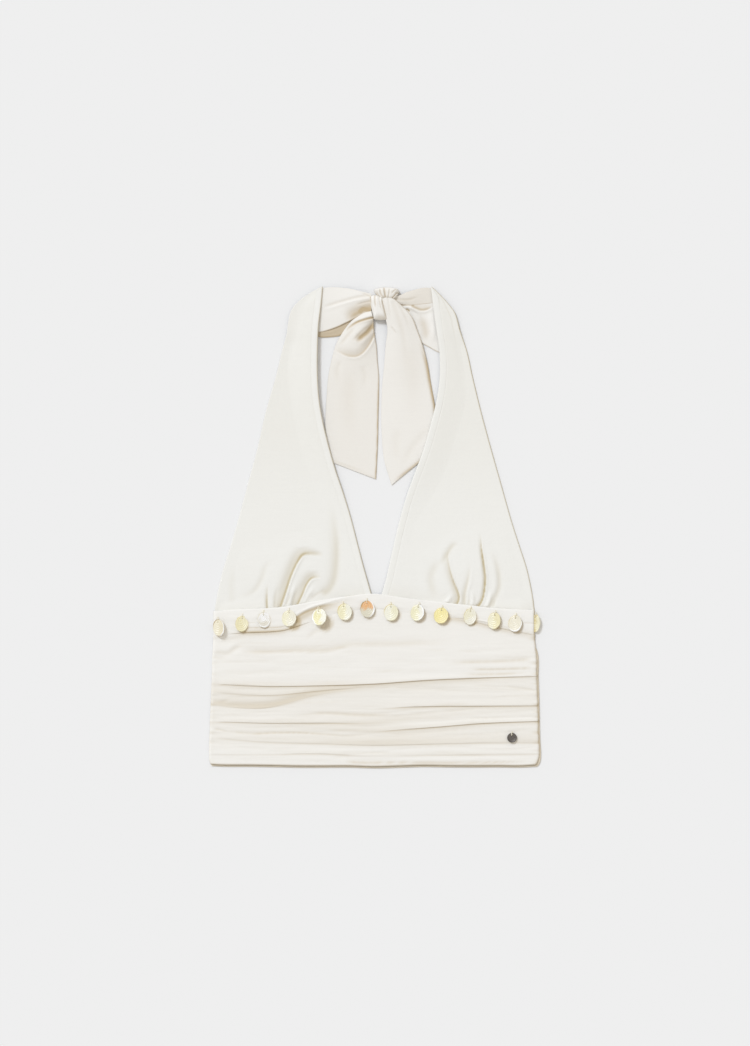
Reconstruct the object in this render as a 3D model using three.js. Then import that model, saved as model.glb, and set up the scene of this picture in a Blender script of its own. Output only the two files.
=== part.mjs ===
// Halter neck top laid flat, face up: a ruched waistband tube, an underbust band hung with
// shell discs, two gathered cups that narrow into straps, and ties bound in a bow at the nape.
// Millimetres. X runs to the right as the garment is seen from above, Y from hem to neck, and
// Z up from the surface. Heights up the garment are measured from the hem.
import * as THREE from 'three';

const CLOTH = 1.2; // thickness of one cloth wall
const SEAM = 0.3; // gap between pieces sewn edge to edge, or lying on each other
const FRONT_FLOOR = CLOTH + SEAM; // underside of the front where the back lies below it
const BAND_WALL = 2.0; // the underbust band is a folded casing
const BINDING_WIDTH = 6.5;
const BACK_TOP = 160; // height of the back band's upper edge
const BACK_HEM = 2; // the back's hem stays hidden under the front's
const SEAM_FALL = 14; // length over which the cups come down off the back band
const STRAP_REST = 447; // height from which the ties lie below the straps
const STRAP_RISE = 17; // length over which the straps come up onto the ties
const LIFT_REACH = 36; // how far the raised neck edge is felt across a cup

const DISC = { width: 14.2, height: 16.2, thickness: 1.1, hole: 1.5, holeInset: 2.9 };
const BADGE = { x: 141.5, y: 28.5, radius: 5, rim: 0.9, thickness: 1.3, recess: 0.4, rise: 4.2 };

// Outline of the waist tube, from hem to underbust. The back's right side is drawn in at the
// top, beside the disc that has slipped under there.
const WAIST_SIDES = [
  { y: 0, left: -165.5, right: 164.5, backRight: 164 },
  { y: 5, left: -170, right: 168, backRight: 167.5 },
  { y: 16, left: -171, right: 169.5, backRight: 169 },
  { y: 37, left: -170.3, right: 168.5, backRight: 168 },
  { y: 62, left: -169.2, right: 168, backRight: 167.5 },
  { y: 90, left: -168.2, right: 167, backRight: 166.5 },
  { y: 112, left: -167.5, right: 166.5, backRight: 165 },
  { y: 134, left: -166.5, right: 164.5, backRight: 153 },
  { y: 161, left: -165.5, right: 164.7, backRight: 152 },
];

// Upper and lower edge of the underbust band, which peaks under the neck opening.
const BAND_EDGES = [
  { x: -166.5, top: 161.5, low: 134 },
  { x: -139, top: 163.5, low: 138 },
  { x: -108, top: 164.6, low: 141.5 },
  { x: -83, top: 166.6, low: 145.4 },
  { x: -46, top: 172.5, low: 155 },
  { x: -17, top: 176.5, low: 160.2 },
  { x: 0, top: 177.5, low: 161 },
  { x: 26, top: 173.8, low: 158.8 },
  { x: 66, top: 169, low: 154 },
  { x: 98, top: 165.5, low: 149.3 },
  { x: 125, top: 162.5, low: 143 },
  { x: 164.5, top: 160.5, low: 134.5 },
];

// Hem of the waistband.
const HEM = [
  { x: -171, y: 1.6 },
  { x: -129, y: 1 },
  { x: -40, y: 0.2 },
  { x: 36, y: 0.2 },
  { x: 143, y: 0.6 },
  { x: 170, y: 1.5 },
];

// Ruched folds of the waistband, top to bottom. Each has its height (y) and the rise of its
// lip (z) at five stations across the width.
const FOLD_STATIONS = [-167, -83.5, 0, 83.5, 167];
const FOLDS = [
  { y: [114.5, 120, 126.5, 125.5, 121.5], z: [0.3, 0.5, 0.5, 0.4, 0.2] },
  { y: [85.5, 82.5, 84, 90, 92.5], z: [1.2, 1.2, 1.7, 1.7, 1.2] },
  { y: [76.5, 73.5, 80.5, 82.5, 79.5], z: [0.7, 0.7, 0.4, 0.3, 0.4] },
  { y: [64, 63.5, 74.5, 74, 70], z: [1.1, 1.3, 0.5, 0.1, 0.1] },
  { y: [54.5, 54, 56, 62, 62.5], z: [0.2, 0.2, 0.7, 1.3, 1.2] },
  { y: [46, 45, 44.5, 51, 53.5], z: [1.2, 1.3, 0.7, 0.2, 0.2] },
  { y: [38, 37.5, 35, 42, 46.5], z: [0.2, 0.2, 0.7, 1.4, 1.3] },
  { y: [34, 33.5, 29, 33, 36], z: [0.5, 0.5, 0.3, 0.2, 0.2] },
  { y: [30, 24, 20.5, 23.5, 24.5], z: [1, 1.1, 1.1, 1.1, 1] },
  { y: [13, 12.5, 10.5, 12, 13], z: [0.8, 0.8, 0.9, 0.8, 0.8] },
  { y: [5.2, 4.9, 4.4, 4.2, 5], z: [0.3, 0.3, 0.4, 0.3, 0.3] },
];
const LIP = { above: 0.9, below: 0.7 };

// Outer and neck edge of each cup. Past the fold line at the top of the strap the outer edge
// is the fold itself.
const CUPS = {
  left: {
    outer: [
      { y: 161.8, x: -165.3 },
      { y: 179, x: -162.5 },
      { y: 204, x: -156.5 },
      { y: 228.5, x: -148.5 },
      { y: 257.5, x: -140 },
      { y: 290.5, x: -131 },
      { y: 327.5, x: -121 },
      { y: 364.5, x: -112.5 },
      { y: 401.5, x: -102 },
      { y: 426.5, x: -96 },
      { y: 445, x: -91 },
      { y: 459.5, x: -89 },
      { y: 470.5, x: -85.5 },
      { y: 480, x: -77 },
      { y: 488, x: -65.5 },
      { y: 493.4, x: -55.5 },
    ],
    neck: [
      { y: 178, x: -3.4 },
      { y: 206, x: -11.5 },
      { y: 230.5, x: -18 },
      { y: 255.5, x: -24.5 },
      { y: 280, x: -32 },
      { y: 305, x: -40.5 },
      { y: 329.5, x: -47.5 },
      { y: 354.5, x: -53.5 },
      { y: 379, x: -57.5 },
      { y: 404, x: -59 },
      { y: 428.5, x: -59 },
      { y: 453, x: -58 },
      { y: 474, x: -55.5 },
      { y: 493.6, x: -53.5 },
    ],
    // How high the neck edge stands off what is below it.
    lift: [
      { y: 178, z: 1.5 },
      { y: 215, z: 0.7 },
      { y: 260, z: 0.8 },
      { y: 300, z: 1.9 },
      { y: 345, z: 2.5 },
      { y: 400, z: 3.4 },
      { y: 450, z: 3.8 },
      { y: 494, z: 2.2 },
    ],
    fullness: { x: -76, y: 196, wide: 52, high: 34, z: 2.2 },
    gathers: [
      { path: [[-111, 166], [-112, 178], [-112, 190]], depth: 0.7, width: 3 },
      { path: [[-97, 166], [-91, 183], [-79, 213], [-57, 217]], depth: 1.8, width: 3.4 },
      { path: [[-80, 168], [-73, 184], [-65, 193.5], [-56, 194.5]], depth: 1.6, width: 3.2 },
      { path: [[-55, 177], [-44, 191], [-40, 222], [-45, 274]], depth: 0.8, width: 6 },
      { path: [[-136, 174], [-118, 198], [-111, 212]], depth: 0.5, width: 5 },
    ],
  },
  right: {
    outer: [
      { y: 161, x: 164.5 },
      { y: 179, x: 162 },
      { y: 204, x: 156.5 },
      { y: 228.5, x: 148.5 },
      { y: 253.5, x: 140.5 },
      { y: 290.5, x: 130 },
      { y: 327.5, x: 119.5 },
      { y: 364.5, x: 109.5 },
      { y: 401.5, x: 100.5 },
      { y: 426.5, x: 95 },
      { y: 449, x: 87.5 },
      { y: 466.5, x: 82.5 },
      { y: 478, x: 74 },
      { y: 487, x: 65.5 },
      { y: 493.4, x: 58.8 },
    ],
    neck: [
      { y: 178, x: 6.4 },
      { y: 195.5, x: 11.5 },
      { y: 221.5, x: 17.5 },
      { y: 243, x: 22.5 },
      { y: 274, x: 31 },
      { y: 299.5, x: 40 },
      { y: 323.5, x: 49 },
      { y: 349, x: 56.5 },
      { y: 375, x: 63 },
      { y: 399.5, x: 66.5 },
      { y: 426.5, x: 67.5 },
      { y: 450, x: 66.5 },
      { y: 470.5, x: 61.5 },
      { y: 493.6, x: 57 },
    ],
    lift: [
      { y: 178, z: 1.5 },
      { y: 215, z: 0.7 },
      { y: 260, z: 0.9 },
      { y: 300, z: 2 },
      { y: 345, z: 2.4 },
      { y: 400, z: 2.8 },
      { y: 450, z: 3.2 },
      { y: 494, z: 2.2 },
    ],
    fullness: { x: 98, y: 196, wide: 46, high: 38, z: 2.2 },
    gathers: [
      { path: [[82, 168], [84, 176], [77, 200], [75, 218], [82, 227]], depth: 1.6, width: 3.2 },
      { path: [[91, 168], [93, 185], [98, 211]], depth: 0.8, width: 3.4 },
      { path: [[108, 167], [112, 180], [113, 196], [109, 238]], depth: 1.8, width: 3.2 },
      { path: [[122, 168], [127, 190], [120, 223]], depth: 0.9, width: 4 },
      { path: [[63, 174], [58, 190], [68, 212]], depth: 0.5, width: 5 },
    ],
  },
};
const CUP_GRID = { columns: 21, rows: 19 };
// Share of the columns and of the width on each side of the gathers, which get close columns.
const GATHER_ZONE = { columnsFrom: 0.18, columnsTo: 0.82, widthFrom: 0.3, widthTo: 0.72 };

// Ribbons of the bow. A section runs between two edge points (ax, ay) and (bx, by); lift is the
// height of its underside at the edges and arch the extra height half way across.
const RIBBONS = {
  tie_left: {
    acrossIsUp: true,
    sections: [
      { at: 0, ax: -87, ay: 450, bx: -76, by: 478.5, lift: 0, arch: 0 },
      { at: 1, ax: -72, ay: 447.6, bx: -65, by: 486.5, lift: 0, arch: 0.1 },
      { at: 2, ax: -56.5, ay: 447, bx: -53.5, by: 492, lift: 0, arch: 0.3 },
      { at: 3, ax: -41, ay: 452, bx: -41, by: 493, lift: 0.3, arch: 0.9 },
      { at: 4, ax: -26, ay: 459, bx: -26, by: 491.5, lift: 1, arch: 1.8 },
      { at: 5, ax: -15, ay: 465.5, bx: -14, by: 488.7, lift: 2, arch: 2.2 },
      { at: 6, ax: -6.6, ay: 470, bx: -6.6, by: 486.5, lift: 2.6, arch: 2 },
    ],
  },
  tie_right: {
    acrossIsUp: true,
    sections: [
      { at: 0, ax: 18, ay: 476.5, bx: 18, by: 483.8, lift: 3.6, arch: 0.6 },
      { at: 1, ax: 26.5, ay: 475, bx: 26, by: 484.8, lift: 2.9, arch: 0.9 },
      { at: 2, ax: 33, ay: 474.2, bx: 31.5, by: 487.5, lift: 1.6, arch: 1.2 },
      { at: 3, ax: 41, ay: 474.5, bx: 41, by: 490.5, lift: 0.7, arch: 0.8 },
      { at: 4, ax: 51.5, ay: 475.5, bx: 51.5, by: 492.6, lift: 0.1, arch: 0.2 },
      { at: 5, ax: 60, ay: 476, bx: 60, by: 490.5, lift: 0, arch: 0 },
      { at: 6, ax: 72, ay: 473.5, bx: 71, by: 478.5, lift: 0, arch: 0 },
    ],
  },
  tie_loop_right: {
    acrossIsUp: true,
    sections: [
      { at: 0, ax: 31, ay: 461.5, bx: 31.5, by: 472, lift: 0.5, arch: 1.2 },
      { at: 1, ax: 36, ay: 452, bx: 38, by: 472.6, lift: 0.2, arch: 1.2 },
      { at: 2, ax: 41, ay: 444, bx: 44.5, by: 470.3, lift: 0, arch: 0.6 },
      { at: 3, ax: 47, ay: 437, bx: 52, by: 469.2, lift: 0, arch: 0.2 },
      { at: 4, ax: 57, ay: 431, bx: 59, by: 470.3, lift: 0, arch: 0 },
      { at: 5, ax: 66, ay: 426, bx: 67, by: 470, lift: 0, arch: 0 },
      { at: 6, ax: 77, ay: 424, bx: 77, by: 468, lift: 0, arch: 0 },
    ],
  },
  tail_left: {
    acrossIsUp: false,
    sections: [
      { at: 0, ax: -51, ay: 315.5, bx: 1, by: 295.5, lift: 0, arch: 0 },
      { at: 1, ax: -51.5, ay: 341, bx: 2.8, by: 332, lift: 0, arch: 0.4 },
      { at: 2, ax: -51, ay: 363, bx: 3.3, by: 360, lift: 0, arch: 0.5 },
      { at: 3, ax: -49.8, ay: 382, bx: 3.8, by: 381, lift: 0, arch: 0.6 },
      { at: 4, ax: -48, ay: 402, bx: 4, by: 401, lift: 0, arch: 1.2 },
      { at: 5, ax: -44.5, ay: 419, bx: 2.6, by: 417.5, lift: 0, arch: 2.8 },
      { at: 6, ax: -40, ay: 434, bx: 1.4, by: 431, lift: 0.3, arch: 4.4 },
      { at: 7, ax: -33, ay: 447.5, bx: -0.4, by: 440, lift: 0.9, arch: 5.2 },
      { at: 8, ax: -23, ay: 459, bx: -1.6, by: 447.5, lift: 1.6, arch: 4.6 },
      { at: 9, ax: -13, ay: 464.5, bx: -3.9, by: 452.6, lift: 2.6, arch: 3 },
      { at: 10, ax: -7.1, ay: 466.3, bx: -6.3, by: 456.6, lift: 3.4, arch: 2 },
    ],
  },
  tail_right: {
    acrossIsUp: false,
    sections: [
      { at: 0, ax: 17, ay: 289.5, bx: 63, by: 327, lift: 0, arch: 0 },
      { at: 1, ax: 9.5, ay: 315, bx: 64, by: 341, lift: 0, arch: 0.3 },
      { at: 2, ax: 7, ay: 341, bx: 63.5, by: 357, lift: 0, arch: 0.5 },
      { at: 3, ax: 6.5, ay: 366.5, bx: 61.3, by: 374, lift: 0, arch: 0.6 },
      { at: 4, ax: 7.5, ay: 392.5, bx: 57.6, by: 394, lift: 0, arch: 0.9 },
      { at: 5, ax: 9.5, ay: 413, bx: 54.3, by: 413, lift: 0.8, arch: 1.6 },
      { at: 6, ax: 11, ay: 433.5, bx: 48.8, by: 434, lift: 2, arch: 2.2 },
      { at: 7, ax: 12.8, ay: 449, bx: 42.5, by: 450, lift: 3.2, arch: 2.8 },
      { at: 8, ax: 12.4, ay: 462, bx: 36.3, by: 463, lift: 4.6, arch: 3 },
      { at: 9, ax: 11.6, ay: 474, bx: 28.2, by: 474, lift: 5.8, arch: 2.4 },
      { at: 10, ax: 11.5, ay: 482.8, bx: 22.5, by: 482.8, lift: 6, arch: 1.6 },
    ],
  },
};
const RIBBON_STEPS = { across: 5, perSection: 1 };

// The knot: a band that wraps it from top to bottom, and the gathered cloth above it.
const KNOT = {
  knot_wrap: {
    left: -6.2, right: 10.9, low: 458.6, top: 485, height: 10.5, lowLift: 3, columns: 8, rows: 10,
  },
  knot_core: {
    left: -1.5, right: 25.6, low: 485.3, top: 493, height: 7.4, lowLift: 0, columns: 10, rows: 6,
  },
};
const KNOT_CORNER = 0.18; // how far the lumps' corners are drawn in

// Shell discs from left to right: centre, tilt across (right edge up) and tilt along (lower
// edge up) in degrees, and turn about the thread that holds them.
const DISCS = [
  { x: -159.8, y: 142.4, across: 35, along: 4, turn: 8 },
  { x: -137, y: 146.6, across: -14, along: 6, turn: -6 },
  { x: -114.2, y: 150.6, across: -22, along: 4, turn: 3 },
  { x: -88.5, y: 152.2, across: 8, along: 4, turn: -2 },
  { x: -57.4, y: 153.6, across: 18, along: 10, turn: 5 },
  { x: -31.2, y: 158.8, across: 5, along: 5, turn: -8 },
  { x: -7.6, y: 161.8, across: -8, along: 6, turn: 4 },
  { x: 16.6, y: 158.2, across: 9, along: 5, turn: 2 },
  { x: 43.6, y: 158, across: -6, along: 5, turn: -5 },
  { x: 68, y: 155, across: 7, along: 6, turn: -9 },
  { x: 97.9, y: 153.9, across: -6, along: 5, turn: -6 },
  { x: 122.6, y: 149.6, across: 24, along: 4, turn: -4 },
  { x: 144.2, y: 146.8, across: 12, along: 7, turn: -7 },
];
// The last disc has slipped round the side seam and lies half under the side.
const SIDE_DISC = { x: 162.2, y: 147, rise: 0.1, turn: -6 };

const fabric = (color) => new THREE.MeshStandardMaterial({ color, roughness: 0.92, metalness: 0 });
const cupCloth = () => fabric(0xf2f0ea);
const bandCloth = () => fabric(0xf0ece3);
const tieCloth = () => fabric(0xece6dc);
const shell = () => new THREE.MeshStandardMaterial({ color: 0xf3eac0, roughness: 0.25, metalness: 0 });
const gunmetal = () => new THREE.MeshStandardMaterial({ color: 0x5a5a5c, roughness: 0.3, metalness: 1 });

const { clamp, lerp, smoothstep } = THREE.MathUtils;

// Smooth value of one column of a table, whose rows are ordered by another column.
function read(table, order, column, at) {
  const last = table.length - 1;
  let row = 0;
  while (row < last - 1 && at > table[row + 1][order]) row += 1;
  const slope = (index) => {
    const before = table[Math.max(index - 1, 0)];
    const after = table[Math.min(index + 1, last)];
    return (after[column] - before[column]) / (after[order] - before[order]);
  };
  const from = table[row];
  const to = table[row + 1];
  const span = to[order] - from[order];
  const t = clamp((at - from[order]) / span, 0, 1);
  const ease = t * t * (3 - 2 * t);
  const bendFrom = t * (1 - t) * (1 - t) * slope(row) * span;
  const bendTo = t * t * (t - 1) * slope(row + 1) * span;
  return lerp(from[column], to[column], ease) + bendFrom + bendTo;
}

// Value of a fold's y or z column at a place across the width.
function atStation(values, x) {
  const rows = FOLD_STATIONS.map((station, index) => ({ station, value: values[index] }));
  return read(rows, 'station', 'value', clamp(x, FOLD_STATIONS[0], FOLD_STATIONS.at(-1)));
}

// Closed wall between an upper and a lower surface, both given over u (left to right) and
// v (towards the neck), with its four sides closed.
function wall(columns, rows, upper, under) {
  const positions = [];
  for (const surface of [upper, under]) {
    for (let j = 0; j <= rows; j += 1) {
      for (let i = 0; i <= columns; i += 1) positions.push(...surface(i / columns, j / rows));
    }
  }
  const layer = (columns + 1) * (rows + 1);
  const at = (i, j) => j * (columns + 1) + i;
  const faces = [];
  const quad = (a, b, c, d) => faces.push(a, b, c, a, c, d);
  for (let j = 0; j < rows; j += 1) {
    for (let i = 0; i < columns; i += 1) {
      const corners = [at(i, j), at(i + 1, j), at(i + 1, j + 1), at(i, j + 1)];
      quad(...corners);
      quad(...corners.reverse().map((corner) => corner + layer));
    }
  }
  const side = (a, b) => quad(b, a, a + layer, b + layer);
  for (let i = 0; i < columns; i += 1) {
    side(at(i, 0), at(i + 1, 0));
    side(at(i + 1, rows), at(i, rows));
  }
  for (let j = 0; j < rows; j += 1) {
    side(at(columns, j), at(columns, j + 1));
    side(at(0, j + 1), at(0, j));
  }
  const geometry = new THREE.BufferGeometry();
  geometry.setAttribute('position', new THREE.Float32BufferAttribute(positions, 3));
  geometry.setIndex(faces);
  geometry.computeVertexNormals();
  return geometry;
}

function named(name, geometry, material) {
  const mesh = new THREE.Mesh(geometry, material);
  mesh.name = name;
  return mesh;
}

function backBand() {
  const columns = 8;
  const rows = 14;
  const place = (u, v) => {
    const y = lerp(BACK_HEM, BACK_TOP, v);
    const left = read(WAIST_SIDES, 'y', 'left', y) + SEAM;
    return [lerp(left, read(WAIST_SIDES, 'y', 'backRight', y), u), y, 0];
  };
  const upper = (u, v) => {
    const [x, y, z] = place(u, v);
    return [x, y, z + CLOTH];
  };
  return named('back_band', wall(columns, rows, upper, place), bandCloth());
}

// Height of the waistband's ruched face above the plain wall: each fold rises slowly to its
// lip and drops at once below it.
function ruching(row, x) {
  const fold = FOLDS[row.fold];
  return fold ? row.share * atStation(fold.z, x) : 0;
}

// Rows of the waistband from hem to top: a foot, a slope and a lip for every fold.
function waistRows() {
  const rows = [{ edge: 'hem' }];
  for (let fold = FOLDS.length - 1; fold >= 0; fold -= 1) {
    rows.push({ fold, offset: -LIP.below, share: 0 });
    rows.push({ fold, offset: LIP.above, share: 1 });
    rows.push({ fold, between: true, share: 0.45 });
  }
  rows.push({ edge: 'top' });
  return rows;
}

function rowHeight(row, x) {
  if (row.edge === 'hem') return read(HEM, 'x', 'y', x);
  const top = read(BAND_EDGES, 'x', 'low', x) - SEAM / 2;
  if (row.edge === 'top') return top;
  const here = atStation(FOLDS[row.fold].y, x);
  if (!row.between) return here + row.offset;
  const above = row.fold > 0 ? atStation(FOLDS[row.fold - 1].y, x) : top;
  return lerp(here + LIP.above, above - LIP.below, 0.45);
}

function frontBand() {
  const columns = 20;
  const rows = waistRows();
  const place = (u, v) => {
    const row = rows[Math.round(v * (rows.length - 1))];
    const middle = lerp(WAIST_SIDES[0].left, WAIST_SIDES[0].right, u);
    const y = rowHeight(row, middle);
    const x = lerp(read(WAIST_SIDES, 'y', 'left', y), read(WAIST_SIDES, 'y', 'right', y), u);
    return { x, y, z: FRONT_FLOOR, ruche: ruching(row, middle) };
  };
  const upper = (u, v) => {
    const { x, y, z, ruche } = place(u, v);
    return [x, y, z + CLOTH + ruche];
  };
  const under = (u, v) => {
    const { x, y, z, ruche } = place(u, v);
    return [x, y, z + ruche * 0.5];
  };
  return named('front_band', wall(columns, rows.length - 1, upper, under), bandCloth());
}

function underbustBand() {
  const columns = 40;
  const rows = 4;
  const place = (u, v) => {
    const x = lerp(BAND_EDGES[0].x, BAND_EDGES.at(-1).x, u);
    const low = read(BAND_EDGES, 'x', 'low', x) + SEAM / 2;
    const y = lerp(low, read(BAND_EDGES, 'x', 'top', x), v);
    return [x, y, FRONT_FLOOR];
  };
  const upper = (u, v) => {
    const [x, y, z] = place(u, v);
    const round = Math.sqrt(Math.max(0, 1 - (2 * v - 1) ** 2));
    return [x, y, z + lerp(CLOTH, BAND_WALL, round)];
  };
  return named('underbust_band', wall(columns, rows, upper, place), bandCloth());
}

// Distance from a point to an open path, and how far along the path the nearest point is.
function nearPath(path, x, y) {
  let best = { distance: Infinity, share: 0 };
  for (let i = 0; i < path.length - 1; i += 1) {
    const [ax, ay] = path[i];
    const [bx, by] = path[i + 1];
    const dx = bx - ax;
    const dy = by - ay;
    const t = clamp(((x - ax) * dx + (y - ay) * dy) / (dx * dx + dy * dy), 0, 1);
    const distance = Math.hypot(x - ax - t * dx, y - ay - t * dy);
    if (distance < best.distance) best = { distance, share: (i + t) / (path.length - 1) };
  }
  return best;
}

// Form of one cup: its face and underside over u (left to right) and v (towards the neck),
// from the outer edge to the neck edge.
function cupForm(side) {
  const cup = CUPS[side];
  const isLeft = side === 'left';
  const outerLow = cup.outer[0].y;
  const outerTop = cup.outer.at(-1).y;
  const neckLow = cup.neck[0].y;
  const neckTop = cup.neck.at(-1).y;

  // Point at a share of the width from the outer edge, moved by an offset across.
  const plan = (share, v, offset) => {
    const outerY = lerp(outerLow, outerTop, v);
    const neckY = lerp(neckLow, neckTop, v);
    const outerX = read(cup.outer, 'y', 'x', outerY);
    const neckX = read(cup.neck, 'y', 'x', neckY);
    const x = lerp(outerX, neckX, share) + offset;
    const chord = lerp(outerY, neckY, share);
    const seam = read(BAND_EDGES, 'x', 'top', lerp(cup.outer[0].x, cup.neck[0].x, share)) + SEAM;
    const seamChord = lerp(outerLow, neckLow, share);
    return { x, y: chord + (seam - seamChord) * (1 - v) ** 6, neckX };
  };

  const floor = ({ x, y, neckX }) => {
    const overBack = FRONT_FLOOR * (1 - smoothstep(y, BACK_TOP, BACK_TOP + SEAM_FALL));
    const overTies = FRONT_FLOOR * smoothstep(y, STRAP_REST - STRAP_RISE, STRAP_REST);
    const near = 1 - clamp(Math.abs(x - neckX) / LIFT_REACH, 0, 1);
    const overTails = read(cup.lift, 'y', 'z', y) * near * near * (3 - 2 * near);
    return Math.hypot(overBack, overTies, overTails);
  };

  const gathering = ({ x, y }) => {
    const { fullness, gathers } = cup;
    const wide = (x - fullness.x) / fullness.wide;
    const high = (y - fullness.y) / fullness.high;
    let height = fullness.z * Math.exp(-wide * wide - high * high);
    for (const { path, depth, width } of gathers) {
      const { distance, share } = nearPath(path, x, y);
      height -= depth * Math.exp(-((distance / width) ** 2)) * (1 - 0.7 * share);
    }
    return Math.max(height, -0.1);
  };

  // Grid share from the outer edge, with close columns in the gathers.
  const spread = (u) => {
    const fromOuter = isLeft ? u : 1 - u;
    const { columnsFrom, columnsTo, widthFrom, widthTo } = GATHER_ZONE;
    if (fromOuter < columnsFrom) return (fromOuter / columnsFrom) * widthFrom;
    if (fromOuter > columnsTo) {
      return lerp(widthTo, 1, (fromOuter - columnsTo) / (1 - columnsTo));
    }
    return lerp(widthFrom, widthTo, (fromOuter - columnsFrom) / (columnsTo - columnsFrom));
  };

  return { isLeft, plan, floor, gathering, spread };
}

// The cup runs from its outer edge to the seam of the neck binding.
function cupPanel(side) {
  const { isLeft, plan, floor, gathering, spread } = cupForm(side);
  const inward = isLeft ? -1 : 1;
  const place = (u, v) => {
    const share = spread(u);
    const rise = v ** 1.25;
    const bare = plan(share, rise, 0);
    const width = Math.abs(plan(0, rise, 0).x - bare.neckX);
    const binding = Math.min(BINDING_WIDTH, width * 0.55) + SEAM;
    return plan(share, rise, inward * binding * share);
  };
  const upper = (u, v) => {
    const point = place(u, v);
    return [point.x, point.y, floor(point) + CLOTH + gathering(point)];
  };
  const under = (u, v) => {
    const point = place(u, v);
    return [point.x, point.y, floor(point) + Math.max(0, gathering(point))];
  };
  const { columns, rows } = CUP_GRID;
  return named(`cup_${side}`, wall(columns, rows, upper, under), cupCloth());
}

// The folded strip that binds the neck edge, beside the cup and as high as it.
function neckBinding(side) {
  const { isLeft, plan, floor, gathering } = cupForm(side);
  const inward = isLeft ? -1 : 1;
  const place = (u, v) => {
    const fromSeam = isLeft ? u : 1 - u;
    const rise = v ** 1.25;
    const edge = plan(1, rise, 0);
    const width = Math.abs(plan(0, rise, 0).x - edge.neckX);
    const binding = Math.min(BINDING_WIDTH, width * 0.55);
    return plan(1, rise, inward * binding * (1 - fromSeam));
  };
  const upper = (u, v) => {
    const point = place(u, v);
    return [point.x, point.y, floor(point) + CLOTH + gathering(point)];
  };
  const under = (u, v) => {
    const point = place(u, v);
    return [point.x, point.y, floor(point) + Math.max(0, gathering(point))];
  };
  return named(`neck_binding_${side}`, wall(2, CUP_GRID.rows, upper, under), cupCloth());
}

function ribbon(name) {
  const { sections, acrossIsUp } = RIBBONS[name];
  const last = sections.length - 1;
  const place = (u, v) => {
    const [along, across] = acrossIsUp ? [u, v] : [v, u];
    const value = (column) => read(sections, 'at', column, along * last);
    const x = lerp(value('ax'), value('bx'), across);
    const y = lerp(value('ay'), value('by'), across);
    const z = Math.max(0, value('lift') + value('arch') * Math.sin(Math.PI * across));
    return [x, y, z];
  };
  const upper = (u, v) => {
    const [x, y, z] = place(u, v);
    return [x, y, z + CLOTH];
  };
  const along = last * RIBBON_STEPS.perSection;
  const [columns, rows] = acrossIsUp ? [along, RIBBON_STEPS.across] : [RIBBON_STEPS.across, along];
  return named(name, wall(columns, rows, upper, place), tieCloth());
}

// A rounded lump of the knot on a flat foot, whose lower end is raised over the tails.
function knotPiece(name) {
  const { left, right, low, top, height, lowLift, columns, rows } = KNOT[name];
  const halfWide = (right - left) / 2;
  const halfHigh = (top - low) / 2;
  // Rounded square: the grid's rim lies on the outline, with close rows beside it.
  const place = (u, v) => {
    const across = Math.sin((u - 0.5) * Math.PI);
    const along = Math.sin((v - 0.5) * Math.PI);
    const x = halfWide * across * Math.sqrt(1 - KNOT_CORNER * along * along);
    const y = halfHigh * along * Math.sqrt(1 - KNOT_CORNER * across * across);
    return { x: left + halfWide + x, y: low + halfHigh + y, rim: Math.max(across ** 4, along ** 4) };
  };
  const foot = (v) => lowLift * (1 - smoothstep(v, 0, 0.35));
  const under = (u, v) => {
    const { x, y } = place(u, v);
    return [x, y, foot(v)];
  };
  const upper = (u, v) => {
    const { x, y, rim } = place(u, v);
    return [x, y, foot(v) + lerp(CLOTH, height - foot(v), Math.sqrt(1 - rim))];
  };
  return named(name, wall(columns, rows, upper, under), tieCloth());
}

// A shell disc with its hanging hole near the upper edge, centred on the origin.
function discGeometry() {
  const outline = new THREE.Shape();
  outline.absellipse(0, 0, DISC.width / 2, DISC.height / 2, 0, Math.PI * 2);
  const hole = new THREE.Path();
  hole.absarc(0, DISC.height / 2 - DISC.holeInset, DISC.hole / 2, 0, Math.PI * 2, true);
  outline.holes.push(hole);
  const settings = { depth: DISC.thickness, bevelEnabled: false, curveSegments: 9 };
  return new THREE.ExtrudeGeometry(outline, settings).translate(0, 0, -DISC.thickness / 2);
}

function shellDiscs() {
  const deck = FRONT_FLOOR + BAND_WALL + SEAM;
  const discs = DISCS.map(({ x, y, across, along, turn }, index) => {
    const disc = named(`disc_${String(index + 1).padStart(2, '0')}`, discGeometry(), shell());
    const tiltAcross = THREE.MathUtils.degToRad(across);
    const tiltAlong = THREE.MathUtils.degToRad(along);
    const reach = Math.hypot(Math.sin(tiltAcross) * DISC.width, Math.sin(tiltAlong) * DISC.height);
    disc.position.set(x, y, deck + (DISC.thickness + reach) / 2);
    disc.rotation.set(-tiltAlong, -tiltAcross, THREE.MathUtils.degToRad(turn));
    return disc;
  });
  const last = named(`disc_${DISCS.length + 1}`, discGeometry(), shell());
  last.position.set(SIDE_DISC.x, SIDE_DISC.y, SIDE_DISC.rise + DISC.thickness / 2);
  last.rotation.z = THREE.MathUtils.degToRad(SIDE_DISC.turn);
  return [...discs, last];
}

// Round metal badge with a raised rim.
function badge() {
  const { radius, rim, thickness, recess } = BADGE;
  const profile = [
    new THREE.Vector2(0, 0),
    new THREE.Vector2(radius, 0),
    new THREE.Vector2(radius, thickness),
    new THREE.Vector2(radius - rim, thickness),
    new THREE.Vector2(radius - rim, thickness - recess),
    new THREE.Vector2(0, thickness - recess),
  ];
  const geometry = new THREE.LatheGeometry(profile, 20).rotateX(Math.PI / 2);
  const mesh = named('badge', geometry, gunmetal());
  mesh.position.set(BADGE.x, BADGE.y, BADGE.rise);
  return mesh;
}

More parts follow.
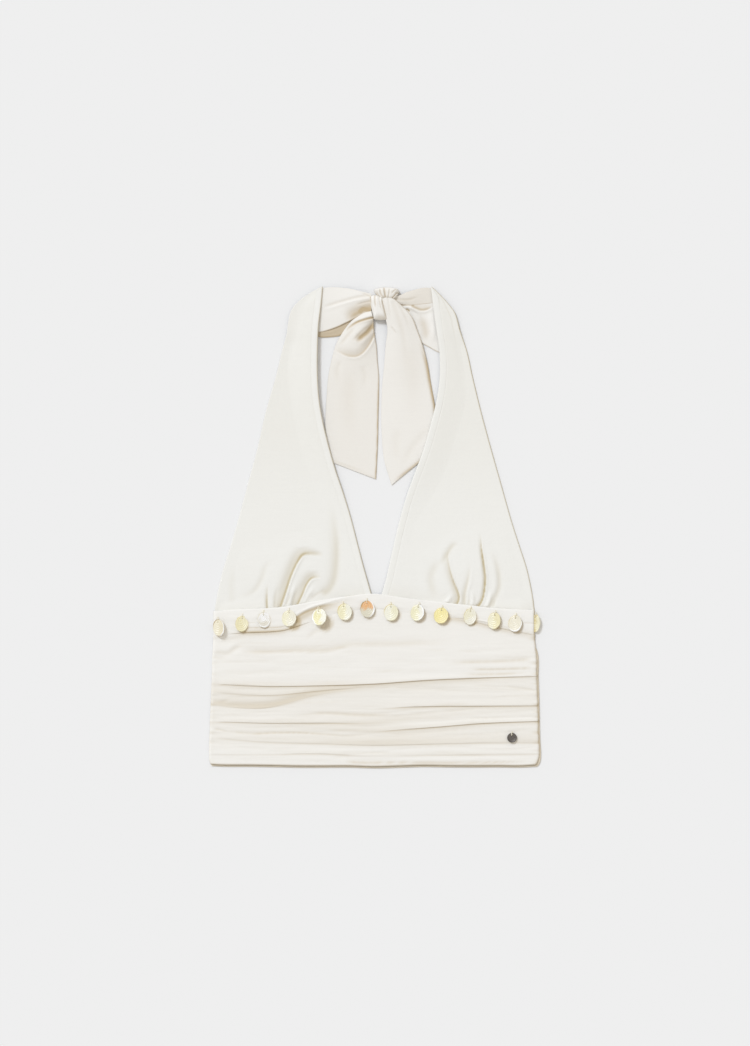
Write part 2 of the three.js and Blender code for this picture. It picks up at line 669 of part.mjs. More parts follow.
const top = new THREE.Group();
top.name = 'halter_neck_top';
top.add(backBand(), frontBand(), underbustBand());
for (const side of ['left', 'right']) top.add(cupPanel(side), neckBinding(side));
for (const name of Object.keys(RIBBONS)) top.add(ribbon(name));
for (const name of Object.keys(KNOT)) top.add(knotPiece(name));
top.add(...shellDiscs(), badge());

// The origin is the middle of the part's footprint, on the surface that it lies on.
const centre = new THREE.Box3().setFromObject(top, true).getCenter(new THREE.Vector3());
top.position.set(-centre.x, -centre.y, 0);

export default top;
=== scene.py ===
import math

import bmesh
import bpy
import numpy as np
from mathutils import Matrix, Vector, noise


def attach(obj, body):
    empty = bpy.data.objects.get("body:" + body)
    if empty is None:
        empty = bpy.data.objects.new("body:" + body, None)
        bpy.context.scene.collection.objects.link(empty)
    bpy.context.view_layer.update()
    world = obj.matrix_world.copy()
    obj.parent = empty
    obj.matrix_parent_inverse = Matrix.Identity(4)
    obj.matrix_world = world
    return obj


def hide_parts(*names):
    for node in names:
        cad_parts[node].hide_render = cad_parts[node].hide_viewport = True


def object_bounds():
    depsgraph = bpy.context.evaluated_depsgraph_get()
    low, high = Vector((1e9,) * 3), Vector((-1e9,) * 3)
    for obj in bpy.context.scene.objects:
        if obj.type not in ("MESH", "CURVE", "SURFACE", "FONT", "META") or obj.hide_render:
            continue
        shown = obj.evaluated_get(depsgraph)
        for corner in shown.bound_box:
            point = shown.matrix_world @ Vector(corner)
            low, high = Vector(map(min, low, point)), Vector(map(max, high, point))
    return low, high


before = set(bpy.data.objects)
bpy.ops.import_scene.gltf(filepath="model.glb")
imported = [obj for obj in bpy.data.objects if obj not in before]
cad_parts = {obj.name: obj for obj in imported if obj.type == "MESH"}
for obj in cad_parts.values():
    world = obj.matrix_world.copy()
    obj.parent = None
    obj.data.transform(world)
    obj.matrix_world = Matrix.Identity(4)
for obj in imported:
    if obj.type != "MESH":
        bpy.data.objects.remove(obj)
cadLow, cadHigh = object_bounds()
print("frame loaded:", len(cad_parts), "nodes")

# Garment measures are in millimetres: x to the right, y up from the hem, z up from the floor.
mm = 0.001
garment = {"leftMost": -171.0, "hemLow": 0.15}
cloth = 1.2  # one wall of cloth
frontFloor = 1.5  # underside of the front, over the back
rng = np.random.default_rng(7)


def toFrame(x, y, z):
    across = cadLow.x + (np.asarray(x) - garment["leftMost"]) * mm
    up = cadLow.y + (np.asarray(y) - garment["hemLow"]) * mm
    return np.stack(np.broadcast_arrays(across, up, np.asarray(z) * mm), axis=-1)


def table(names, *rows):
    return [dict(zip(names.split(), row)) for row in rows]


# Smooth value of one column of a table, at places along another column.
def follow(rows, key, column, at):
    keys = np.array([row[key] for row in rows], float)
    values = np.array([row[column] for row in rows], float)
    before = np.maximum(np.arange(len(keys)) - 1, 0)
    after = np.minimum(np.arange(len(keys)) + 1, len(keys) - 1)
    slopes = (values[after] - values[before]) / (keys[after] - keys[before])
    at = np.clip(at, keys[0], keys[-1])
    i = np.clip(np.searchsorted(keys, at) - 1, 0, len(keys) - 2)
    span = keys[i + 1] - keys[i]
    t = (at - keys[i]) / span
    ease = t * t * (3 - 2 * t)
    bend = t * (1 - t) * ((1 - t) * slopes[i] - t * slopes[i + 1]) * span
    return values[i] + (values[i + 1] - values[i]) * ease + bend


def smooth(at, low, high):
    t = np.clip((np.asarray(at, float) - low) / (high - low), 0, 1)
    return t * t * (3 - 2 * t)


def mix(a, b, t):
    return a + (b - a) * t


# Rises from 0 at an edge to 1 at a distance inside it, as the side of a rounded edge does.
def roundedEdge(distance, radius):
    t = np.clip(distance / radius, 0, 1)
    return np.sqrt(np.clip(1 - (1 - t) ** 2, 0, 1))


# Noise over the cloth, stretched by its wavelengths across and up, in millimetres.
def ripple(x, y, across, up, seed):
    points = np.stack([x / across, y / up, np.full_like(x, seed)], axis=-1)
    return np.array([noise.noise(Vector(point)) for point in points])


# Relief and painted shade of creases drawn on the cloth. Each crease has a path, a depth and a
# width, may have a ridge on one side and be softer on one side, and fades towards its ends; its
# tone is the shade painted in it. Sides are left (positive) or right of the path.
def creases(x, y, settings):
    height = np.zeros_like(x)
    shade = np.zeros_like(x)
    for crease in settings:
        path = np.array(crease["path"], float)
        steps = np.linspace(0, len(path) - 1, 12 * len(path))
        rows = [{"at": i, "x": p[0], "y": p[1]} for i, p in enumerate(path)]
        px = follow(rows, "at", "x", steps)
        py = follow(rows, "at", "y", steps)
        reach = crease["width"] * 5
        near = np.nonzero(
            (x > px.min() - reach) & (x < px.max() + reach)
            & (y > py.min() - reach) & (y < py.max() + reach)
        )[0]
        if not len(near):
            continue
        dx = x[near][:, None] - px
        dy = y[near][:, None] - py
        distance = np.hypot(dx, dy)
        best = distance.argmin(axis=1)
        pick = np.arange(len(near))
        tx, ty = np.gradient(px), np.gradient(py)
        side = np.sign(tx[best] * dy[pick, best] - ty[best] * dx[pick, best])
        off = distance[pick, best] * side
        share = best / (len(steps) - 1)
        start, end = crease.get("fade", (0.15, 0.5))
        strength = smooth(share, -0.02, start) * (1 - smooth(share, 1 - end, 1.02))
        if start == 0:
            strength = 1 - smooth(share, 1 - end, 1.02)
        width, ridge, soft = crease["width"], crease.get("ridge", 0), crease.get("soft", 1)
        reached = width * np.where(off * soft > 0, abs(soft), 1)
        lift = -crease["depth"] * np.exp(-((off / reached) ** 2))
        lift += abs(ridge) * np.exp(-(((off - math.copysign(width * 1.7, ridge)) / width) ** 2))
        height[near] += lift * strength
        tone = crease.get("tone", 0.3 * max(crease["depth"], 0)) * strength
        shade[near] += tone * (0.6 * np.exp(-((off / width / 0.8) ** 2)) + 0.4 * np.exp(-((off / reached) ** 2)))
    return height, shade


# Closed sheet of cloth: a grid laid out by a surface function of u and v, given a thickness.
# The shade that the surface function returns is painted into the cloth's colour through a point
# attribute.
def clothPiece(name, columns, rows, surface, thickness, material, faceDown=False):
    bm = bmesh.new()
    bmesh.ops.create_grid(bm, x_segments=columns, y_segments=rows, size=0.5)
    flat = np.array([vert.co[:2] for vert in bm.verts])
    x, y, z, shade = surface(flat[:, 0] + 0.5, flat[:, 1] + 0.5)
    fold = bm.verts.layers.float.new("fold")
    for vert, spot, value in zip(bm.verts, toFrame(x, y, z), np.clip(shade, 0, 1)):
        vert.co = spot
        vert[fold] = value
    for edge in bm.edges:
        edge.smooth = not edge.is_boundary
    if faceDown:
        bmesh.ops.reverse_faces(bm, faces=bm.faces)
    piece = finishMesh(name, bm, material)
    wall = piece.modifiers.new("wall", "SOLIDIFY")
    wall.thickness = thickness * mm
    wall.offset = -1
    return piece


def finishMesh(name, bm, material):
    mesh = bpy.data.meshes.new(name)
    bm.to_mesh(mesh)
    bm.free()
    mesh.materials.append(material)
    mesh.polygons.foreach_set("use_smooth", [True] * len(mesh.polygons))
    piece = bpy.data.objects.new(name, mesh)
    bpy.context.scene.collection.objects.link(piece)
    return piece


def standFor(piece, slot, *nodes):
    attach(piece, "root")
    if nodes:
        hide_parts(*nodes)


# A number that changes over a surface. Its operators add Math nodes.
class Amount:
    def __init__(self, finish, socket):
        self.finish = finish
        self.socket = socket

    def combine(self, operation, first, second):
        node = self.finish.node("ShaderNodeMath", {"operation": operation}, {0: first, 1: second})
        return Amount(self.finish, node.outputs[0])

    def __add__(self, other):
        return self.combine("ADD", self, other)

    def __radd__(self, other):
        return self.combine("ADD", other, self)

    def __sub__(self, other):
        return self.combine("SUBTRACT", self, other)

    def __rsub__(self, other):
        return self.combine("SUBTRACT", other, self)

    def __mul__(self, other):
        return self.combine("MULTIPLY", self, other)

    def __rmul__(self, other):
        return self.combine("MULTIPLY", other, self)

    def __pow__(self, other):
        return self.combine("POWER", self, other)


# One material: its nodes, its shader and the few recipes that the finishes share.
class Finish:
    def __init__(self, name):
        self.material = bpy.data.materials.new(name)
        self.material.use_nodes = True
        self.tree = self.material.node_tree
        self.tree.nodes.clear()
        self.shader = self.node("ShaderNodeBsdfPrincipled")
        output = self.node("ShaderNodeOutputMaterial")
        self.tree.links.new(self.shader.outputs[0], output.inputs["Surface"])
        self.place = self.node("ShaderNodeTexCoord").outputs["Object"]

    def node(self, kind, settings=None, sockets=None):
        made = self.tree.nodes.new(kind)
        for key, value in (settings or {}).items():
            setattr(made, key, value)
        for key, value in (sockets or {}).items():
            value = value.socket if isinstance(value, Amount) else value
            if isinstance(value, bpy.types.NodeSocket):
                self.tree.links.new(value, made.inputs[key])
            else:
                made.inputs[key].default_value = value
        return made

    def noise(self, scale, detail=3.0, roughness=0.5, turn=0.0, shift=(0, 0, 0)):
        mapped = self.node(
            "ShaderNodeMapping", {}, {"Vector": self.place, "Scale": scale, "Rotation": (0, 0, turn),
                                      "Location": shift}
        )
        made = self.node(
            "ShaderNodeTexNoise",
            {},
            {"Vector": mapped.outputs[0], "Scale": 1.0, "Detail": detail, "Roughness": roughness},
        )
        return Amount(self, made.outputs[0])

    def threads(self, pitch, turn):
        mapped = self.node("ShaderNodeMapping", {}, {"Vector": self.place, "Rotation": (0, 0, turn)})
        made = self.node(
            "ShaderNodeTexWave",
            {"wave_type": "BANDS", "bands_direction": "X", "wave_profile": "SIN"},
            {"Vector": mapped.outputs[0], "Scale": 1 / pitch / 3.18, "Distortion": 0.6, "Detail": 1.0,
             "Detail Scale": 1.2},
        )
        return Amount(self, made.outputs["Fac"])

    def blend(self, factor, first, second):
        made = self.node(
            "ShaderNodeMix",
            {"data_type": "RGBA"},
            {0: factor, 6: first, 7: second},
        )
        return made.outputs[2]

    def set(self, **values):
        for key, value in values.items():
            name = key.replace("_", " ")
            value = value.socket if isinstance(value, Amount) else value
            if isinstance(value, bpy.types.NodeSocket):
                self.tree.links.new(value, self.shader.inputs[name])
            else:
                self.shader.inputs[name].default_value = value

    def bump(self, height, distance, strength=1.0):
        made = self.node(
            "ShaderNodeBump", {}, {"Height": height, "Distance": distance, "Strength": strength}
        )
        self.set(Normal=made.outputs[0])


# Colours of each cloth: two woven tones, and the warm brown its painted shade runs towards.
clothLooks = {
    "cupCloth": {"light": (0.884, 0.876, 0.838), "dark": (0.854, 0.844, 0.802), "turn": 0.02, "crinkle": 0.25, "fold": (0.56, 0.475, 0.30)},
    "bandCloth": {"light": (0.907, 0.890, 0.850), "dark": (0.872, 0.852, 0.808), "turn": 0.0, "crinkle": 1.0, "fold": (0.585, 0.475, 0.30)},
    "tieCloth": {"light": (0.908, 0.890, 0.850), "dark": (0.872, 0.850, 0.808), "turn": 1.45, "crinkle": 0.3, "fold": (0.55, 0.44, 0.285)},
}


# Plain weave with slubs along one thread, and the crinkle that gathering leaves in the cloth,
# with shade painted into its colour.
def wovenCloth(name):
    look = clothLooks[name]
    finish = Finish(name)
    slubs = finish.noise((45, 620, 300), detail=4, roughness=0.55, turn=look["turn"])
    weft = finish.threads(0.00062, math.pi / 2 + look["turn"])
    warp = finish.threads(0.00062, look["turn"])
    crinkle = finish.noise((14, 210, 100), detail=3, roughness=0.6, turn=look["turn"], shift=(3, 1, 0))
    patches = finish.noise((18, 22, 18), detail=2)
    tone = slubs * 0.55 + patches * 0.3 + weft * 0.08 + warp * 0.07
    # Painted shade: the colour runs to the warm brown in creases, on shaded edges and under discs.
    fold = finish.node("ShaderNodeAttribute", {"attribute_name": "fold"}).outputs["Fac"]
    woven = finish.blend(tone, (*look["dark"], 1), (*look["light"], 1))
    finish.set(
        Base_Color=finish.blend(fold, woven, (*look["fold"], 1)),
        Roughness=0.9,
        Specular_IOR_Level=0.2,
    )
    height = slubs * 0.5 + weft * 0.25 + warp * 0.25 + crinkle * (1.6 * look["crinkle"])
    finish.bump(height, 0.00016)
    return finish.material


cupCloth = wovenCloth("cupCloth")
bandCloth = wovenCloth("bandCloth")
tieCloth = wovenCloth("tieCloth")


def threadFinish():
    finish = Finish("thread")
    twist = finish.noise((1500, 3500, 1500), detail=2)
    finish.set(
        Base_Color=finish.blend(twist, (0.90, 0.83, 0.62, 1), (0.96, 0.93, 0.82, 1)), Roughness=0.7
    )
    finish.bump(twist, 0.0001)
    return finish.material


thread = threadFinish()
print("cloth finishes made")

# Shell discs from left to right. Each runs from its body colour to its side colour along a
# direction, has a darker crescent at its lower right, its rim with painted shade on the side away
# from the light, and may have a painted white highlight (glint) at an angle. The painted warm
# shadow beneath it falls to its lower right.
disc = {"thickness": 1.1, "hole": 0.5, "holeInset": 2.9, "deck": 3.55, "shade": 0.55}
amber = (0.42, 0.27, 0.09)
straw = (0.74, 0.60, 0.27)
ivory = (0.80, 0.74, 0.54)
discs = table(
    "x y across along turn wide high body side lean edge glint fallX fallY",
    (-160.8, 142.6, 22, 4, 8, 12.2, 17.4, (0.86, 0.80, 0.62), (0.80, 0.72, 0.52), 0, amber, 180, 0.5, -0.5),
    (-137, 146.6, -10, 5, -6, 13.2, 16.4, (0.87, 0.80, 0.50), (0.90, 0.84, 0.58), 0, straw, None, 1.2, -1.6),
    (-114.2, 150.6, -12, 4, 3, 13.6, 16.0, (0.80, 0.76, 0.66), (0.97, 0.96, 0.95), 90, ivory, 90, 0.8, -1.2),
    (-88.5, 152.2, 7, 4, -2, 14.8, 16.8, (0.89, 0.85, 0.63), (0.86, 0.82, 0.68), 0, ivory, None, 5.5, -5.0),
    (-57.4, 153.6, 20, 12, 5, 15.4, 17.4, (0.85, 0.79, 0.45), (0.90, 0.88, 0.76), 10, ivory, 0, 7.0, -7.0),
    (-31.2, 158.8, 7, 6, 12, 14.6, 17.4, (0.86, 0.81, 0.54), (0.88, 0.86, 0.72), 0, straw, None, 2.2, -2.4),
    (-7.6, 161.8, -6, 6, 4, 14.6, 17.4, (0.74, 0.70, 0.55), (0.84, 0.47, 0.20), 80, amber, 180, 2.2, -2.4),
    (16.6, 158.2, 7, 4, 2, 14.6, 17.2, (0.88, 0.86, 0.72), (0.84, 0.80, 0.58), -10, straw, None, 2.6, -2.8),
    (43.6, 158, 12, 5, -14, 13.8, 17.0, (0.86, 0.82, 0.56), (0.91, 0.89, 0.79), 0, ivory, 180, 2.6, -2.8),
    (68, 155, 7, 6, -9, 14.6, 16.6, (0.91, 0.80, 0.35), (0.90, 0.79, 0.38), -40, straw, None, 3.2, -3.0),
    (97.9, 153.9, -5, 4, -6, 13.0, 16.8, (0.88, 0.84, 0.64), (0.89, 0.86, 0.74), -40, straw, None, 2.0, -2.2),
    (122.6, 149.6, 16, 4, -10, 13.2, 17.2, (0.87, 0.83, 0.62), (0.84, 0.77, 0.48), 0, straw, None, 1.6, -1.2),
    (144.2, 146.8, 10, 6, -7, 13.6, 17.0, (0.86, 0.81, 0.66), (0.84, 0.79, 0.64), 0, straw, 120, 1.8, -1.8),
    (165.3, 146.9, 22, 0, -4, 9.6, 18.4, (0.70, 0.58, 0.26), (0.88, 0.83, 0.60), 0, straw, None, 0, 0),
)


# Painted warm shadow that the discs cast on the cloth under them.
def discShade(x, y):
    shade = np.zeros_like(x)
    for row in discs[:-1]:
        across = (x - row["x"] - row["fallX"]) / (row["wide"] / 2)
        up = (y - row["y"] - row["fallY"]) / (row["high"] / 2)
        shade += disc["shade"] * (1 - smooth(np.hypot(across, up), 0.75, 1.12))
    return shade


# Outline of the waist tube, from hem to underbust.
waistSides = table(
    "y left right backRight",
    (0, -168, 164.5, 165.5), (5, -170.4, 168, 169.2), (16, -171, 169.5, 170.6),
    (37, -170.3, 168.5, 169.6), (62, -169.2, 168, 169.1), (90, -168.2, 167, 168.1),
    (112, -167.5, 166.5, 167.4), (134, -166.5, 164.5, 158), (161, -165.5, 164.7, 152),
)
bandEdges = table(
    "x top low",
    (-166.5, 159.5, 134), (-139, 161.5, 137.2), (-108, 162.8, 138.5), (-95, 164, 139.8), (-83, 166, 143.2),
    (-46, 172.5, 155), (-17, 176.5, 160.2), (0, 177.5, 161), (26, 173.8, 158.8),
    (66, 169, 154), (98, 165.5, 149.3), (125, 162.5, 143), (164.5, 160.5, 134.5),
)
hemLine = table(
    "x y", (-171, 2.2), (-155, 1.4), (-129, 1.3), (-103, 0.9), (-77, 0.4), (-50, 0.4), (-26, 0.5),
    (0, -0.3), (26, 0.4), (51, 1.1), (77, 0.7), (103, 0.6), (129, 0.7), (150, 0.5), (170, 1.6),
)

# Ruched folds of the waistband from top to bottom, at seven stations across its width: the
# height of each lip's edge, how far it stands out, and the painted shade along it and above and
# below the edge.
waistband = {
    "columns": 150,
    "wall": 0.9,
    "stations": (-167, -111, -55.5, 0, 55, 111, 167),
    "folds": [
        {"y": (84.8, 82.4, 83.0, 84.8, 88.7, 91.1, 92.7), "lip": (0.5, 1.0, 1.2, 1.5, 1.6, 1.3, 0.6), "tone": 1.2,
         "above": (0.05, 0.1, 0.05, 0, 0, 0, 0), "below": (0.05, 0.06, 0.1, 0.3, 0.3, 0.18, 0.08), "reach": (4, 5)},
        {"y": (76.7, 73.0, 77.6, 82.0, 85.4, 86.4, 87), "lip": (0.3, 0.5, 0.5, 0.0, 0.0, 0.0, 0.0), "tone": 0.8,
         "above": (0.14, 0.1, 0.08, 0.05, 0, 0, 0), "below": (0.05, 0.05, 0.15, 0, 0, 0, 0), "reach": (5, 3)},
        {"y": (62.6, 60.0, 73.6, 79.6, 81.0, 80.0, 79.0), "lip": (0.3, 0.5, 0.15, 0.0, 0.0, 0.0, 0.0), "tone": 0.9,
         "above": (0.22, 0.38, 0.28, 0.0, 0, 0, 0), "below": (0, 0, 0.12, 0, 0, 0, 0), "reach": (8, 3)},
        {"y": (54.8, 55, 57, 59.6, 61.7, 62.1, 62.3), "lip": (0.0, 0.0, 0.0, 0.1, 1.0, 1.1, 0.6), "tone": 1.1,
         "above": (0, 0, 0, 0, 0, 0, 0), "below": (0, 0, 0, 0, 0.06, 0.1, 0.1), "reach": (3, 4)},
        {"y": (46.1, 44.5, 44.6, 45.0, 49.5, 52.6, 53.1), "lip": (0.4, 0.9, 0.7, 0.15, 0.0, 0.0, 0.0), "tone": 1.0,
         "above": (0, 0.05, 0.05, 0.16, 0.1, 0, 0), "below": (0.05, 0.05, 0.12, 0.16, 0.05, 0, 0), "reach": (4, 4)},
        {"y": (38.5, 38.1, 37.3, 36.2, 39.8, 44.3, 46.4), "lip": (0.0, 0.0, 0.1, 0.25, 1.1, 1.2, 0.7), "tone": 1.2,
         "above": (0, 0, 0.08, 0.14, 0.05, 0, 0), "below": (0, 0, 0, 0.05, 0.08, 0.08, 0.05), "reach": (4, 3)},
        {"y": (30.4, 25.4, 23.5, 21.7, 22.9, 24.3, 24.6), "lip": (0.3, 0.4, 0.5, 0.6, 0.6, 0.5, 0.4), "tone": 0.9,
         "above": (0, 0.05, 0.12, 0.26, 0.2, 0.12, 0.1), "below": (0, 0, 0, 0, 0, 0, 0), "reach": (8, 2)},
        {"y": (12.6, 12.6, 13.0, 11.0, 11.9, 12.4, 13.2), "lip": (0.2, 0.3, 0.6, 0.2, 0.4, 0.4, 0.3), "tone": 1.0,
         "above": (0, 0, 0.08, 0.1, 0.06, 0.05, 0), "below": (0, 0, 0, 0, 0, 0, 0), "reach": (4, 2)},
    ],
    # Profile of one lip, from above it to below it: distance up from the edge when the fold is
    # open and when it is sharp, and the height as a share of the lip's.
    "lipProfile": [
        (5.0, 5.0, 0.55), (3.4, 3.2, 0.78), (2.2, 1.9, 0.93), (1.3, 1.0, 1.0), (0.6, 0.3, 0.97),
        (0.1, -0.12, 0.80), (-0.3, -0.10, 0.52), (-0.7, 0.15, 0.30), (-1.1, 0.22, 0.12),
        (-1.5, -0.1, 0.0), (-2.0, -0.9, -0.06), (-2.8, -2.2, -0.04), (-3.8, -3.8, 0.0),
    ],
    # Painted shade along a lip's profile, darkest just under its edge.
    "lipTones": (0, 0.02, 0.03, 0.02, 0, 0.05, 0.3, 0.6, 0.7, 0.5, 0.22, 0.06, 0.02),
    "between": 10,
    "edgeRows": 6,
    # Soft creases, with painted shade in them.
    "soft": [
        {"path": [(-140, 117.5), (-111, 117.5), (-80, 118.8), (-52, 118.6), (-30, 123.5), (-8, 127)],
         "depth": 0.85, "width": 2.0, "soft": 2.4, "fade": (0.15, 0.3), "tone": 0.3},
        {"path": [(-30, 124.5), (0, 125.5), (26, 126), (51, 126.6), (85, 125.5)],
         "depth": 0.4, "width": 2.8, "soft": 1.4, "fade": (0.2, 0.4), "tone": 0.2},
        {"path": [(-160, 128), (-146, 131), (-128, 132)], "depth": 0.6, "width": 2.2, "fade": (0.2, 0.4), "tone": 0.12},
        {"path": [(-168, 118), (-152, 116), (-142, 122), (-132, 128)], "depth": 0.7, "width": 2.4, "ridge": 0.4,
         "fade": (0.2, 0.5), "tone": 0.14},
        {"path": [(-72, 131), (-60, 139), (-48, 147)], "depth": 0.7, "width": 2.4, "fade": (0.3, 0.3), "tone": 0.12},
        {"path": [(-165, 108), (-128, 107.5), (-95, 109)], "depth": 0.35, "width": 1.6, "fade": (0.2, 0.4),
         "tone": 0.08},
        {"path": [(-167, 112), (-160, 111), (-150, 112)], "depth": 0.5, "width": 1.6, "fade": (0.1, 0.4), "tone": 0.14},
        {"path": [(-160, 97), (-128, 96), (-70, 98)], "depth": 0.35, "width": 2.4, "fade": (0.2, 0.4), "tone": 0.05},
        {"path": [(-165, 64.5), (-135, 63), (-108, 64), (-84, 69), (-60, 75)], "depth": 0.8, "width": 3.0,
         "fade": (0.1, 0.35), "tone": 0.1},
        {"path": [(-167, 66), (-158, 66), (-148, 69)], "depth": 0.5, "width": 1.8, "fade": (0.1, 0.4), "tone": 0.12},
        {"path": [(-88, 51), (-52, 54.4), (-26, 53), (0, 52.4), (24, 53.6)], "depth": 0.6, "width": 2.2,
         "fade": (0.3, 0.3), "tone": 0.26},
        {"path": [(-160, 37), (-129, 33.4), (-103, 34.2), (-77, 34.3), (-50, 32.6), (-30, 31.6)], "depth": 0.5,
         "width": 1.3, "soft": 1.6, "fade": (0.25, 0.4), "tone": 0.36},
        {"path": [(-50, 32.5), (-30, 31), (0, 33)], "depth": 0.4, "width": 1.4, "fade": (0.3, 0.3), "tone": 0.1},
        {"path": [(-165, 38), (-158, 37), (-150, 34)], "depth": 0.5, "width": 1.2, "fade": (0.1, 0.4), "tone": 0.15},
        {"path": [(20, 79.5), (60, 79), (100, 76)], "depth": 0.45, "width": 2.2, "fade": (0.2, 0.4), "tone": 0.08},
        {"path": [(70, 105), (100, 107), (128, 108), (162, 110)], "depth": 0.5, "width": 2.0, "fade": (0.4, 0.1),
         "tone": 0.3},
        {"path": [(84, 95), (105, 94.6), (130, 95), (160, 96.5)], "depth": 0.35, "width": 1.4, "fade": (0.4, 0.3),
         "tone": 0.35},
        {"path": [(96, 100.5), (115, 99.4), (135, 100), (162, 101)], "depth": 0.45, "width": 1.3, "fade": (0.3, 0.1),
         "tone": 0.4},
        {"path": [(132, 82), (150, 80), (166, 78)], "depth": 0.4, "width": 1.2, "fade": (0.3, 0.1), "tone": 0.12},
        {"path": [(0, 49), (40, 53), (80, 56.5), (110, 58)], "depth": 0.45, "width": 1.6, "fade": (0.2, 0.3),
         "tone": 0.1},
        {"path": [(20, 57), (60, 60)], "depth": 0.4, "width": 1.6, "fade": (0.3, 0.3), "tone": 0.08},
        {"path": [(10, 31), (60, 35), (120, 41)], "depth": 0.5, "width": 2.6, "fade": (0.2, 0.3), "tone": 0.1},
        {"path": [(-30, 4.6), (-10, 3.4), (40, 3.6), (80, 3.2), (120, 3.6), (160, 4.5)], "depth": 0.3, "width": 1.8,
         "fade": (0.1, 0.2), "tone": 0.35},
        {"path": [(60, 31), (120, 33), (160, 38)], "depth": 0.35, "width": 1.4, "fade": (0.3, 0.2), "tone": 0.06},
        {"path": [(-25, 12.8), (4, 13.8), (17, 12.7)], "depth": 0.35, "width": 1.0, "fade": (0.3, 0.3)},
        {"path": [(-44, 8), (-30, 10), (-22, 7)], "depth": 0.4, "width": 1.6, "fade": (0.3, 0.3), "tone": 0.08},
        {"path": [(-150, 19.5), (-111, 17.5), (-70, 18.5)], "depth": 0.3, "width": 1.6, "fade": (0.3, 0.3), "tone": 0.04},
        {"path": [(90, 18), (130, 17), (165, 19)], "depth": 0.3, "width": 1.2, "fade": (0.3, 0.1), "tone": 0.06},
        {"path": [(-160, 4.6), (0, 4.1), (160, 4.4)], "depth": 0.2, "width": 0.7, "fade": (0.05, 0.05), "tone": 0.06},
    ],
}


def atStation(values, x):
    rows = [{"station": s, "value": v} for s, v in zip(waistband["stations"], values)]
    return follow(rows, "station", "value", x)


# Share of the width of each column, with close columns at the side seams.
def closeAtEnds(u, edge):
    return mix(u, 0.5 - 0.5 * np.cos(np.pi * u), edge)


